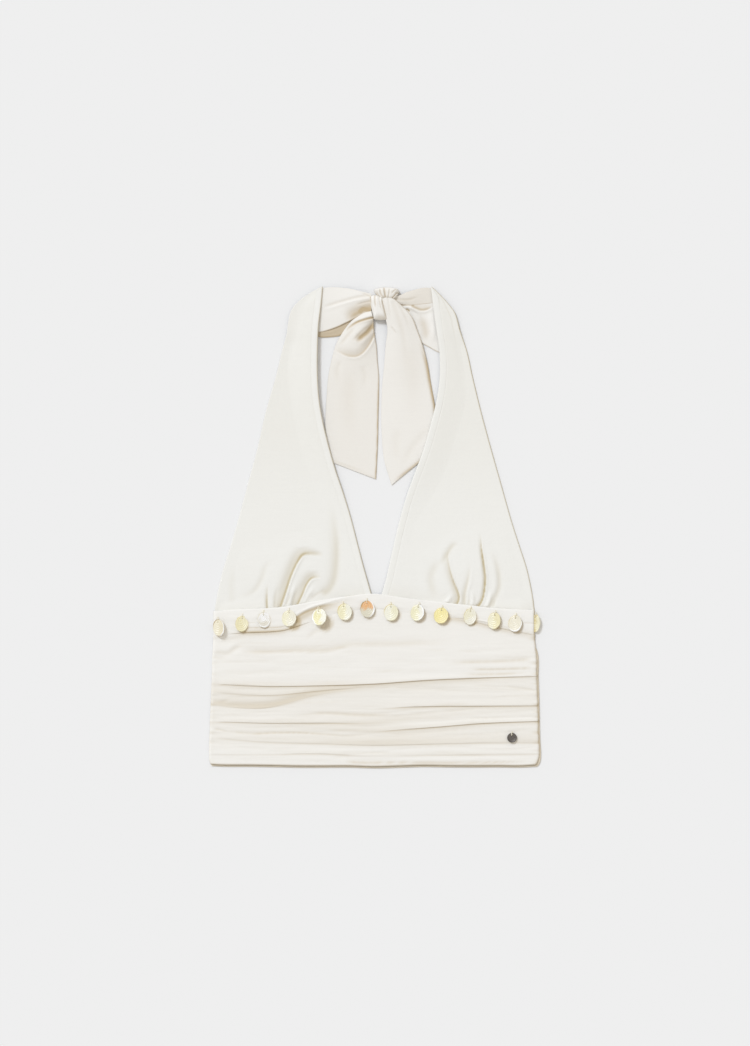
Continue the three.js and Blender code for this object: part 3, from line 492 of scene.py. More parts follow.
def waistbandSurface(u, v):
    settings = waistband
    folds = settings["folds"]
    profile = settings["lipProfile"]
    plan = [("hem", k) for k in range(settings["edgeRows"])]
    for index in range(len(folds) - 1, -1, -1):
        plan += [("between", index, t) for t in range(settings["between"])]
        plan += [("lip", index, k) for k in range(len(profile) - 1, -1, -1)]
    plan += [("between", -1, t) for t in range(3 * settings["between"])]
    last = len(plan) - 1
    row = np.rint(v * last).astype(int)
    share = closeAtEnds(u, 0.55)
    middle = mix(-167.0, 167.0, share)
    lines = np.stack([atStation(fold["y"], middle) for fold in folds])
    lips = np.clip(np.stack([atStation(fold["lip"], middle) for fold in folds]), 0, None)
    lips *= 1 + 0.18 * ripple(middle, middle * 0, 26, 10, 3.3)
    lips *= mix(0.3, 1, smooth(middle, -164, -152))
    casing = follow(bandEdges, "x", "low", middle)
    top = casing + 3.0
    hem = follow(hemLine, "x", "y", middle)
    above = np.vstack([top[None], lines[:-1]])
    below = np.vstack([lines[1:], hem[None]])
    upScale = np.clip((above - lines) / 12, 0.05, 1)
    downScale = np.clip((lines - below) / 9, 0.05, 1)

    def lipPoint(index, k):
        openUp, sharpUp, rise = profile[k]
        sharp = smooth(lips[index], 0.25, 0.8)
        up = mix(openUp, sharpUp, sharp)
        return lines[index] + up * np.where(up > 0, upScale[index], downScale[index]), rise * lips[index]

    y = np.zeros_like(middle)
    z = np.zeros_like(middle)
    shade = np.zeros_like(middle)
    for number, entry in enumerate(plan):
        here = row == number
        if not here.any():
            continue
        if entry[0] == "hem":
            k = entry[1] / (settings["edgeRows"] - 1)
            rise = math.sin(k * math.pi / 2)
            y[here] = hem[here] + 1.6 * (1 - math.cos(k * math.pi / 2))
            z[here] = -1.6 * (1 - rise)
            # Painted shade on the hem's turn, darkest at the bottom.
            shade[here] = 0.6 * (1 - k)
            continue
        if entry[0] == "lip":
            yLip, zLip = lipPoint(entry[1], entry[2])
            y[here], z[here] = yLip[here], zLip[here]
            tone = settings["lipTones"][entry[2]] * smooth(lips[entry[1]], 0, 1) * folds[entry[1]]["tone"]
            shade[here] = tone[here]
            continue
        index, step = entry[1], entry[2]
        if index == -1:
            yFrom, zFrom = lipPoint(0, 0)
            t = (step + 1) / (3 * settings["between"])
            yTo, zTo = top, np.zeros_like(top)
        else:
            t = (step + 1) / (settings["between"] + 1)
            yTo, zTo = lipPoint(index, len(profile) - 1)
            if index == len(folds) - 1:
                yFrom, zFrom = hem + 1.6, np.zeros_like(hem)
            else:
                yFrom, zFrom = lipPoint(index + 1, 0)
        y[here] = mix(yFrom, yTo, t)[here]
        z[here] = mix(zFrom, zTo, t ** 0.8)[here]
    left = follow(waistSides, "y", "left", y)
    right = follow(waistSides, "y", "right", y)
    x = mix(left, right, share)
    fromSide = np.minimum(x - left, right - x)
    relief, tones = creases(x, y, settings["soft"] + crinkles)
    shade += tones
    relief += 0.22 * ripple(x, y, 42, 4.2, 1.1) + 0.12 * ripple(x, y, 18, 2.1, 5.2)
    # short pleats where the gathering ends in the side seams
    pleat = np.exp(-fromSide / 7.0)
    relief += 0.75 * pleat * ripple(x, y, 30, 3.4, 9.4)
    relief += 0.35 * smooth(fromSide, 0, 40) - 0.2
    body = frontFloor + cloth + 0.5 + z + relief * smooth(y, 0, 6) * smooth(top - y, 0, 8)
    edge = roundedEdge(fromSide, 2.6)
    # Painted shade above and below each fold's edge.
    for fold, line in zip(folds, lines):
        above, below = (np.clip(atStation(fold[side], middle), 0, None) for side in ("above", "below"))
        off = y - line
        shade += above * (off > 0) * np.exp(-((off / fold["reach"][0]) ** 2))
        shade += below * (off <= 0) * np.exp(-((off / fold["reach"][1]) ** 2))
    # Painted shade in the short pleats at the side seams, stronger on the right, away from the light.
    pleatShade = np.clip(ripple(x * 0, y, 10, 3.6, 8.2) * 2.4, 0, 1)
    shade += 0.3 * np.where(x > 0, 1, 0.4) * pleatShade * np.exp(-((fromSide / 5) ** 2)) + 0.02
    # Painted shade along the side edges, dark on the right, which faces away from the light.
    shade += np.where(x > 0, 0.6, 0.1) * np.exp(-((fromSide / 0.9) ** 2))
    # Painted shadow under the casing's lower edge.
    below = follow(underbust["edgeTone"], "x", "below", x)
    shade += below * np.exp(-((np.clip(casing - y, 0, None) / 3.2) ** 2))
    # Painted shadow of the discs; the colour a little darker and warmer between 12 and 100 mm up.
    shade += discShade(x, y) + 0.07 * smooth(y, 12, 30) * (1 - smooth(y, 78, 100))
    body -= 1.0 * smooth(y - casing, 0, 3.0)
    x += np.where(x < 0, -0.25, 0.5) * ripple(x * 0, y, 10, 6, 4.4) * np.exp(-fromSide / 6)
    return x, y, 1.2 + (body - 1.2) * edge, shade


# Short shallow creases that gathering leaves all over the waistband, with a little painted shade
# in each.
def shortCreases(count):
    made = []
    for _ in range(count):
        x, y = rng.uniform(-165, 120), rng.uniform(5, 132)
        length, slope = rng.uniform(20, 90), rng.uniform(-0.03, 0.05)
        bend = rng.uniform(-0.8, 0.8)
        made.append({
            "path": [(x, y), (x + length / 2, y + slope * length / 2 + bend), (x + length, y + slope * length)],
            "depth": rng.uniform(0.04, 0.2), "width": rng.uniform(0.6, 1.5), "fade": (0.4, 0.4),
            "tone": rng.uniform(0.02, 0.1),
        })
    return made


crinkles = shortCreases(110)


def makeWaistband():
    settings = waistband
    rows = (
        settings["edgeRows"]
        + len(settings["folds"]) * (settings["between"] + len(settings["lipProfile"]))
        + 3 * settings["between"]
        - 1
    )
    piece = clothPiece(
        "frontBand", settings["columns"], rows, waistbandSurface, settings["wall"], bandCloth
    )
    standFor(piece, "band_cloth", "front_band")
    return piece


# Outer face of the back, which lies on the floor with shallow creases of its own ruching.
backBand = {
    "columns": 60,
    "rows": 120,
    # Past the hem and side seam the back's edges show, painted dark as the shadow under the front.
    "peek": 1.9,
    "sidePeek": 0.2,
    "hemTone": 0.55,
    "sideTone": 0.65,
    "wall": 1.1,
    "creases": [
        {"path": [(-160, y), (-60, y + lean), (50, y - lean), (160, y + 2)],
         "depth": -depth, "width": 1.5, "fade": (0.05, 0.05)}
        for y, lean, depth in (
            (16, 2, 0.35), (30, -3, 0.45), (41, 2, 0.3), (55, 4, 0.5), (68, -2, 0.3),
            (83, 3, 0.5), (97, -3, 0.35), (112, 2, 0.45), (126, -2, 0.3), (141, 1, 0.35),
        )
    ],
}


def backSurface(u, v):
    left = follow(waistSides, "y", "left", mix(1.0, 159.5, v)) + 0.6
    right = follow(waistSides, "y", "backRight", mix(1.0, 159.5, v)) + backBand["sidePeek"]
    x = mix(left, right, closeAtEnds(u, 0.4))
    low = follow(hemLine, "x", "y", x) - backBand["peek"]
    y = mix(low, 159.5, closeAtEnds(v, 0.3))
    fromSide = np.minimum(np.minimum(x - left, right - x), np.minimum(y - low, 159.5 - y))
    relief, shade = creases(x, y, backBand["creases"])
    relief += 0.05 * (1 + ripple(x, y, 30, 4, 2.7))
    rise = relief + 0.7 * (1 - roundedEdge(fromSide, 1.5))
    # Painted shadow on the edges that show below the hem and beside the side, a little shade all over.
    atHem = backBand["hemTone"] * np.exp(-(((y - low) / 2.5) ** 2))
    atSide = backBand["sideTone"] * np.exp(-(((right - x) / 2.5) ** 2))
    edgeShadow = np.maximum(atHem, atSide)
    return x, y, np.clip(rise, 0, 1.0), shade + 0.1 + edgeShadow


def makeBackBand():
    piece = clothPiece(
        "backBand", backBand["columns"], backBand["rows"], backSurface, 0.3, bandCloth, faceDown=True
    )
    standFor(piece, "band_cloth", "back_band")
    return piece


# The underbust casing: a soft roll between the cups' seam and the waistband. Its lower edge
# stands off the waistband by the step.
underbust = {
    "step": table(
        "x height",
        (-166, 0.1), (-150, 0.3), (-139, 0.9), (-110, 1.1), (-84, 0.9), (-66, 0.2), (-45, 0),
        (0, 0), (60, 0), (90, 0.15), (110, 0.4), (150, 0.45), (164, 0.3),
    ),
    "columns": 220,
    "rows": 44,
    "wall": 0.9,
    # Creases of the casing, with painted shade in them.
    "creases": [
        {"path": [(-84, 150), (-75.2, 156.6), (-65.9, 160.8), (-54.6, 164.4), (-43.3, 166.8), (-15, 173.4)],
         "depth": 0.6, "width": 1.5, "soft": -4.2, "ridge": 0.3, "fade": (0.1, 0.5), "tone": 0.85},
        {"path": [(-84, 146.5), (-75, 152.6), (-65, 157.2), (-54, 161.2), (-43, 164.4), (-30, 168)],
         "depth": 0.2, "width": 3.4, "fade": (0.1, 0.4), "tone": 0.3},
        {"path": [(-80, 156.5), (-66, 163.8), (-54, 167.2), (-39, 171.5), (-18, 176)], "depth": -0.6,
         "width": 1.2, "fade": (0.2, 0.3), "tone": 0},
        {"path": [(-33, 174.4), (-18, 176.8)], "depth": 0.3, "width": 0.7, "fade": (0.2, 0.2), "tone": 0.3},
        {"path": [(-134, 142.3), (-116, 142.6), (-100, 142.8), (-86, 145)],
         "depth": 0.3, "width": 0.7, "fade": (0.15, 0.3), "tone": 0.45},
        {"path": [(-160, 152.5), (-130, 154.5), (-100, 158)], "depth": -0.25, "width": 3, "fade": (0.2, 0.3),
         "tone": 0},
        {"path": [(-132, 147.4), (-122, 147.6)], "depth": 0.3, "width": 0.7, "fade": (0.2, 0.2), "tone": 0.18},
        {"path": [(1, 161.2), (14, 161)], "depth": 0.3, "width": 0.5, "fade": (0.1, 0.1), "tone": 0.3},
        {"path": [(80, 152.2), (92, 151.6)], "depth": 0.3, "width": 0.45, "fade": (0.1, 0.1), "tone": 0.35},
        {"path": [(80, 149.9), (92, 149.3)], "depth": 0.3, "width": 0.45, "fade": (0.1, 0.1), "tone": 0.3},
        {"path": [(152, 147.4), (164, 147)], "depth": 0.4, "width": 0.7, "fade": (0.2, 0.0), "tone": 0.25},
        {"path": [(101, 150.6), (110, 149.6), (124, 146.6), (140, 142.8)], "depth": -0.9, "width": 0.8,
         "fade": (0.2, 0.4), "tone": 0},
    ],
    # how strongly shade is painted along the lower edge, on the casing and below it
    "edgeTone": table(
        "x on below",
        (-166, 0.0, 0.0), (-145, 0.1, 0.1), (-132, 0.8, 0.55), (-105, 0.8, 0.55), (-85, 0.5, 0.4),
        (-72, 0.1, 0.15), (-50, 0.0, 0.0), (0, 0.0, 0.0), (40, 0.04, 0.03), (66, 0.15, 0.2),
        (80, 0.2, 0.4), (105, 0.35, 0.45), (140, 0.35, 0.35), (164, 0.35, 0.15),
    ),
}


def underbustSurface(u, v):
    x = mix(-166.5, 164.5, closeAtEnds(u, 0.35))
    low = follow(bandEdges, "x", "low", x)
    top = follow(bandEdges, "x", "top", x)
    step = np.clip(follow(underbust["step"], "x", "height", x), 0, None)
    stands = smooth(step, 0.1, 0.35)
    # the lower edge folds under itself, or dips into the waistband where the two lie flush
    hidden = np.clip(1 - v / 0.08, 0, 1)
    turned = np.where(hidden > 0, low + mix(-2.5 * hidden, 0.4 * hidden**2, stands), low)
    y = np.where(v < 0.08, turned, mix(low, top, np.clip(v - 0.08, 0, 1) ** 1.5 / 0.92**1.5))
    fromLow = y - low
    fromTop = top - y
    body = frontFloor + 1.6 + mix(0.5 * smooth(fromLow, -1, 5), step + 0.2, stands)
    body += 0.25 * np.sin(np.pi * np.clip(fromLow / (top - low), 0, 1))
    relief, shade = creases(x, y, underbust["creases"])
    body += relief + 0.18 * ripple(x, y, 22, 5, 6.1) + 0.1 * ripple(x, y, 9, 3, 7.7)
    body -= 0.35 * np.exp(-((fromTop / 0.5) ** 2))
    ground = frontFloor + 1.1
    z = ground + (body - ground) * mix(1 - 0.9 * hidden, np.sqrt(1 - hidden), stands)
    fromSide = np.minimum(x + 166.5, 164.5 - x)
    # Painted shade: the discs' shadows, along the lower edge, and at the sides, dark on the right.
    shade += discShade(x, y)
    edgeTone = follow(underbust["edgeTone"], "x", "on", x)
    shade += edgeTone * (0.6 * np.exp(-((fromLow / 1.2) ** 2)) + 0.4 * np.exp(-((fromLow / 4.5) ** 2)))
    shade += np.where(x > 0, 0.6, 0.1) * np.exp(-((fromSide / 0.9) ** 2))
    return x, y, 0.6 + (z - 0.6) * roundedEdge(fromSide, 2.6), shade


def makeUnderbust():
    settings = underbust
    piece = clothPiece(
        "underbustBand", settings["columns"], settings["rows"], underbustSurface, settings["wall"], bandCloth
    )
    standFor(piece, "band_cloth", "underbust_band")
    return piece


# The cups. Past the fold at the top of the strap the outer edge is the fold itself.
cups = {
    "left": {
        "outer": table(
            "y x",
            (161.8, -165.3), (179, -162.5), (204, -156.5), (228.5, -148.5), (257.5, -140),
            (290.5, -131), (327.5, -121), (364.5, -112.5), (401.5, -102), (426.5, -96), (445, -91),
            (459.5, -89), (470.5, -85.5), (480, -77), (488, -65.5), (493.4, -55.5),
        ),
        "neck": table(
            "y x",
            (178, -3.4), (206, -11.5), (230.5, -18), (255.5, -24.5), (280, -32), (305, -40.5),
            (329.5, -47.5), (354.5, -53.5), (379, -57.5), (404, -59), (428.5, -59), (453, -58),
            (474, -55.5), (493.6, -53.5),
        ),
        "lift": table(
            "y z",
            (178, 1.5), (215, 0.7), (260, 0.9), (300, 2.4), (345, 3.8), (400, 5.4), (450, 4.8), (494, 2.2),
        ),
        "fullness": {"x": -76, "y": 196, "wide": 52, "high": 34, "z": 2.0},
        # Gathers of the left cup, with painted shade in them.
        "creases": [
            {"path": [(-97, 165), (-91.5, 181.5), (-86.5, 196.5), (-79, 212), (-72, 218.5), (-55, 216.5)],
             "depth": 2.0, "width": 1.3, "soft": 5, "ridge": -1.0, "fade": (0.0, 0.4), "tone": 1.1},
            {"path": [(-80, 211), (-72, 219), (-60, 219), (-52, 217)], "depth": 0.7, "width": 2.4, "fade": (0.3, 0.4),
             "tone": 0.4},
            {"path": [(-80, 166), (-75, 177), (-70.5, 187.5), (-64.5, 194), (-54, 195)],
             "depth": 1.7, "width": 1.2, "soft": 4.5, "ridge": -0.9, "fade": (0.0, 0.3), "tone": 1.0},
            {"path": [(-55.5, 176), (-46.5, 183.5), (-41.5, 196.5), (-40, 222.5), (-42, 248), (-45.5, 274)],
             "depth": 1.0, "width": 4.2, "soft": 1.4, "fade": (0.1, 0.5), "tone": 0.36},
            {"path": [(-111, 162), (-111.5, 172), (-111, 188.5)], "depth": 1.0, "width": 1.0, "soft": 1.6,
             "fade": (0.0, 0.6), "tone": 0.95},
            {"path": [(-141, 173), (-125, 180), (-117, 192), (-112, 206), (-103, 214)],
             "depth": 0.5, "width": 3.0, "fade": (0.3, 0.5), "tone": 0.14},
            {"path": [(-147, 166), (-148, 185), (-146, 207)], "depth": 0.4, "width": 4, "fade": (0.2, 0.4),
             "tone": 0.08},
            {"path": [(-104, 164), (-103, 174), (-99, 188)], "depth": 0.6, "width": 1.4, "fade": (0.0, 0.6),
             "tone": 0.2},
            {"path": [(-91, 167), (-88, 174), (-85, 182)], "depth": 0.6, "width": 0.9, "fade": (0.0, 0.6), "tone": 0.3},
            {"path": [(-85, 166), (-82, 176), (-77, 188)], "depth": 0.6, "width": 1.2, "fade": (0.0, 0.6), "tone": 0.2},
            {"path": [(-88, 168), (-85, 178), (-80, 192)], "depth": -0.9, "width": 1.6, "fade": (0.0, 0.5), "tone": 0},
            {"path": [(-73, 168), (-68, 177), (-60, 186)], "depth": -0.9, "width": 2.0, "fade": (0.0, 0.5), "tone": 0},
            {"path": [(-66, 172), (-58, 178), (-48, 182)], "depth": 0.5, "width": 1.6, "fade": (0.1, 0.5), "tone": 0.15},
            {"path": [(-101, 164), (-99, 172)], "depth": -0.5, "width": 1.2, "fade": (0.0, 0.6), "tone": 0},
        ],
    },
    "right": {
        "outer": table(
            "y x",
            (161, 164.5), (179, 162), (204, 156.5), (228.5, 148.5), (253.5, 140.5), (290.5, 130),
            (327.5, 119.5), (364.5, 109.5), (401.5, 100.5), (426.5, 95), (449, 87.5), (466.5, 82.5),
            (478, 74), (487, 65.5), (493.4, 58.8),
        ),
        "neck": table(
            "y x",
            (178, 6.4), (195.5, 11.5), (221.5, 17.5), (243, 22.5), (274, 31), (299.5, 40),
            (323.5, 49), (349, 56.5), (375, 63), (399.5, 66.5), (426.5, 66.3), (450, 63),
            (470.5, 60.2), (493.6, 57.5),
        ),
        "lift": table(
            "y z",
            (178, 1.5), (215, 0.7), (260, 0.9), (300, 2), (345, 2.4), (400, 2.8), (450, 3.2), (494, 2.2),
        ),
        "fullness": {"x": 98, "y": 196, "wide": 46, "high": 38, "z": 2.0},
        # Gathers and creases of the right cup, with painted shade in them.
        "creases": [
            {"path": [(82, 162.5), (86, 171), (85.5, 178), (80, 192), (76, 206), (75, 219.5), (82.5, 228)],
             "depth": 1.5, "width": 1.1, "soft": 3.5, "ridge": -0.6, "fade": (0.0, 0.7), "tone": 1.1},
            {"path": [(66, 206), (74, 218), (80, 227), (87, 229)], "depth": 0.5, "width": 2.8, "fade": (0.3, 0.4),
             "tone": 0.25},
            {"path": [(92, 167), (92.5, 178), (96, 194), (98, 211)],
             "depth": 0.9, "width": 1.8, "soft": 1.5, "ridge": -0.5, "fade": (0.0, 0.6), "tone": 0.4},
            {"path": [(105, 162), (111, 173), (113.5, 191), (112, 207.5), (109.5, 224), (108.5, 240)],
             "depth": 1.9, "width": 0.95, "soft": 2.0, "ridge": -0.8, "fade": (0.0, 0.4), "tone": 1.7},
            {"path": [(119, 166), (127, 181.5), (127.5, 195.5), (124.5, 210), (120, 223.5)],
             "depth": 0.8, "width": 2.4, "soft": -1.6, "ridge": 0.3, "fade": (0.0, 0.5), "tone": 0.25},
            {"path": [(63, 172), (57.5, 190.5), (61, 204), (68, 212)], "depth": 0.5, "width": 4.5,
             "fade": (0.2, 0.4), "tone": 0.16},
            {"path": [(100, 164), (101, 172), (99, 182)], "depth": -1.3, "width": 1.6, "fade": (0.0, 0.5), "tone": 0},
            {"path": [(88, 166), (89, 174), (88, 184)], "depth": -0.6, "width": 1.3, "fade": (0.0, 0.5), "tone": 0},
            {"path": [(72, 166), (76, 171), (80, 178)], "depth": -1.6, "width": 2.2, "fade": (0.0, 0.5), "tone": 0},
            {"path": [(114, 162), (118, 170), (119, 182)], "depth": -1.3, "width": 1.8, "fade": (0.0, 0.5), "tone": 0},
            {"path": [(103, 163), (106, 168)], "depth": 0.7, "width": 0.7, "fade": (0.0, 0.4), "tone": 0.35},
            {"path": [(96, 165), (97, 172)], "depth": 0.6, "width": 0.7, "fade": (0.0, 0.4), "tone": 0.3},
            {"path": [(122, 165), (124, 172)], "depth": 0.5, "width": 0.9, "fade": (0.0, 0.4), "tone": 0.2},
            {"path": [(66, 487), (73, 473), (78, 462), (81, 448), (85, 430)], "depth": 0.35, "width": 0.8,
             "fade": (0.05, 0.4), "tone": 0.16},
        ],
    },
}
cupMesh = {"columns": 150, "rows": 200, "wall": 0.9, "binding": 6.5, "backTop": 160, "reach": 36}


# Places, floor and relief of one cup, shared by its panel and its neck binding.
class CupForm:
    def __init__(self, side):
        self.cup = cups[side]
        self.isLeft = side == "left"
        self.outerLow, self.outerTop = self.cup["outer"][0], self.cup["outer"][-1]
        self.neckLow, self.neckTop = self.cup["neck"][0], self.cup["neck"][-1]

    def edges(self, v):
        outerY = mix(self.outerLow["y"], self.outerTop["y"], v)
        neckY = mix(self.neckLow["y"], self.neckTop["y"], v)
        outerX = follow(self.cup["outer"], "y", "x", outerY)
        neckX = follow(self.cup["neck"], "y", "x", neckY)
        return outerX, outerY, neckX, neckY

    def place(self, share, v):
        outerX, outerY, neckX, neckY = self.edges(v)
        seamX = mix(self.outerLow["x"], self.neckLow["x"], share)
        seam = follow(bandEdges, "x", "top", seamX) - 1.2
        chord = mix(self.outerLow["y"], self.neckLow["y"], share)
        y = mix(outerY, neckY, share) + (seam - chord) * (1 - v) ** 6
        return mix(outerX, neckX, share), y

    def floor(self, x, y, neckX):
        overBack = frontFloor * (1 - smooth(y, cupMesh["backTop"], cupMesh["backTop"] + 14))
        overTies = frontFloor * smooth(y, 430, 447)
        near = 1 - np.clip(np.abs(x - neckX) / cupMesh["reach"], 0, 1)
        overTails = follow(self.cup["lift"], "y", "z", y) * near * near * (3 - 2 * near)
        return np.sqrt(overBack**2 + overTies**2 + overTails**2)

    def relief(self, x, y):
        full = self.cup["fullness"]
        wide = (x - full["x"]) / full["wide"]
        high = (y - full["y"]) / full["high"]
        height = full["z"] * np.exp(-wide * wide - high * high)
        relief, shade = creases(x, y, self.cup["creases"])
        height += relief + 0.3 * ripple(x, y, 55, 70, 2.2) + 0.06 * ripple(x, y, 9, 6, 8.8)
        return height, shade


def makeCup(side):
    form = CupForm(side)

    def panel(u, v):
        v = v**1.3
        fromOuter = u if form.isLeft else 1 - u
        outerX, outerY, neckX, neckY = form.edges(v)
        width = np.abs(neckX - outerX)
        binding = np.minimum(cupMesh["binding"], width * 0.55) - 0.9
        share = closeAtEnds(fromOuter, 0.3) * (1 - binding / width)
        x, y = form.place(share, v)
        fromSeam = (1 - binding / width - share) * width
        fromOuterEdge = share * width
        seam = follow(bandEdges, "x", "top", x)
        relief, shade = form.relief(x, y)
        body = form.floor(x, y, neckX) + cloth + relief
        body -= 0.22 * (1 - smooth(fromSeam, 0.7, 2.4))
        tucked = 1 - smooth(y - seam, -0.4, 1.6)
        body = mix(body, np.minimum(body, frontFloor + 1.3), tucked)
        body = mix(np.minimum(body, 1.3 + frontFloor * smooth(y, 430, 450)), body, smooth(fromOuterEdge, 0, 16))
        body = np.maximum(body, 1.5)
        low = np.minimum(0.5 + frontFloor * smooth(y, 430, 450), body)
        # The colour runs a little towards the warm brown near the seam and high up the straps.
        shade += 0.07 * (1 - smooth(y - seam, 0, 16)) + 0.06 * smooth(y, 250, 360)
        # Painted shade along the right cup's outer edge, which faces away from the light.
        shade += (0.1 if form.isLeft else 0.75) * np.exp(-((fromOuterEdge / 0.9) ** 2))
        return x, y, low + (body - low) * roundedEdge(fromOuterEdge, 0.9), shade

    def binding(u, v):
        v = v**1.3
        fromSeam = u if form.isLeft else 1 - u
        outerX, outerY, neckX, neckY = form.edges(v)
        width = np.abs(neckX - outerX)
        strip = np.minimum(cupMesh["binding"], width * 0.55)
        share = 1 - (1 - fromSeam) * strip / width
        x, y = form.place(share, v)
        fromNeck = (1 - fromSeam) * strip
        relief, shade = form.relief(x, y)
        body = form.floor(x, y, neckX) + cloth + relief
        body += 0.12 * np.sin(np.pi * fromSeam) + 0.08 * ripple(x, y, 8, 14, 3.9)
        low = body - 1.2
        # Faint darkening at the seam; painted shade along the left neck edge, away from the light.
        shade += 0.03 * np.exp(-((fromSeam * strip / 0.6) ** 2))
        shade += (0.75 if form.isLeft else 0.1) * np.exp(-((fromNeck / 0.8) ** 2))
        return x, y, low + (body - low) * roundedEdge(fromNeck, 1.4), shade

    cup = clothPiece(f"cup{side.title()}", cupMesh["columns"], cupMesh["rows"], panel, cupMesh["wall"], cupCloth)
    standFor(cup, "cup_cloth", f"cup_{side}")
    strip = clothPiece(
        f"neckBinding{side.title()}", 14, cupMesh["rows"], binding, 0.5, cupCloth
    )
    standFor(strip, "cup_cloth", f"neck_binding_{side}")
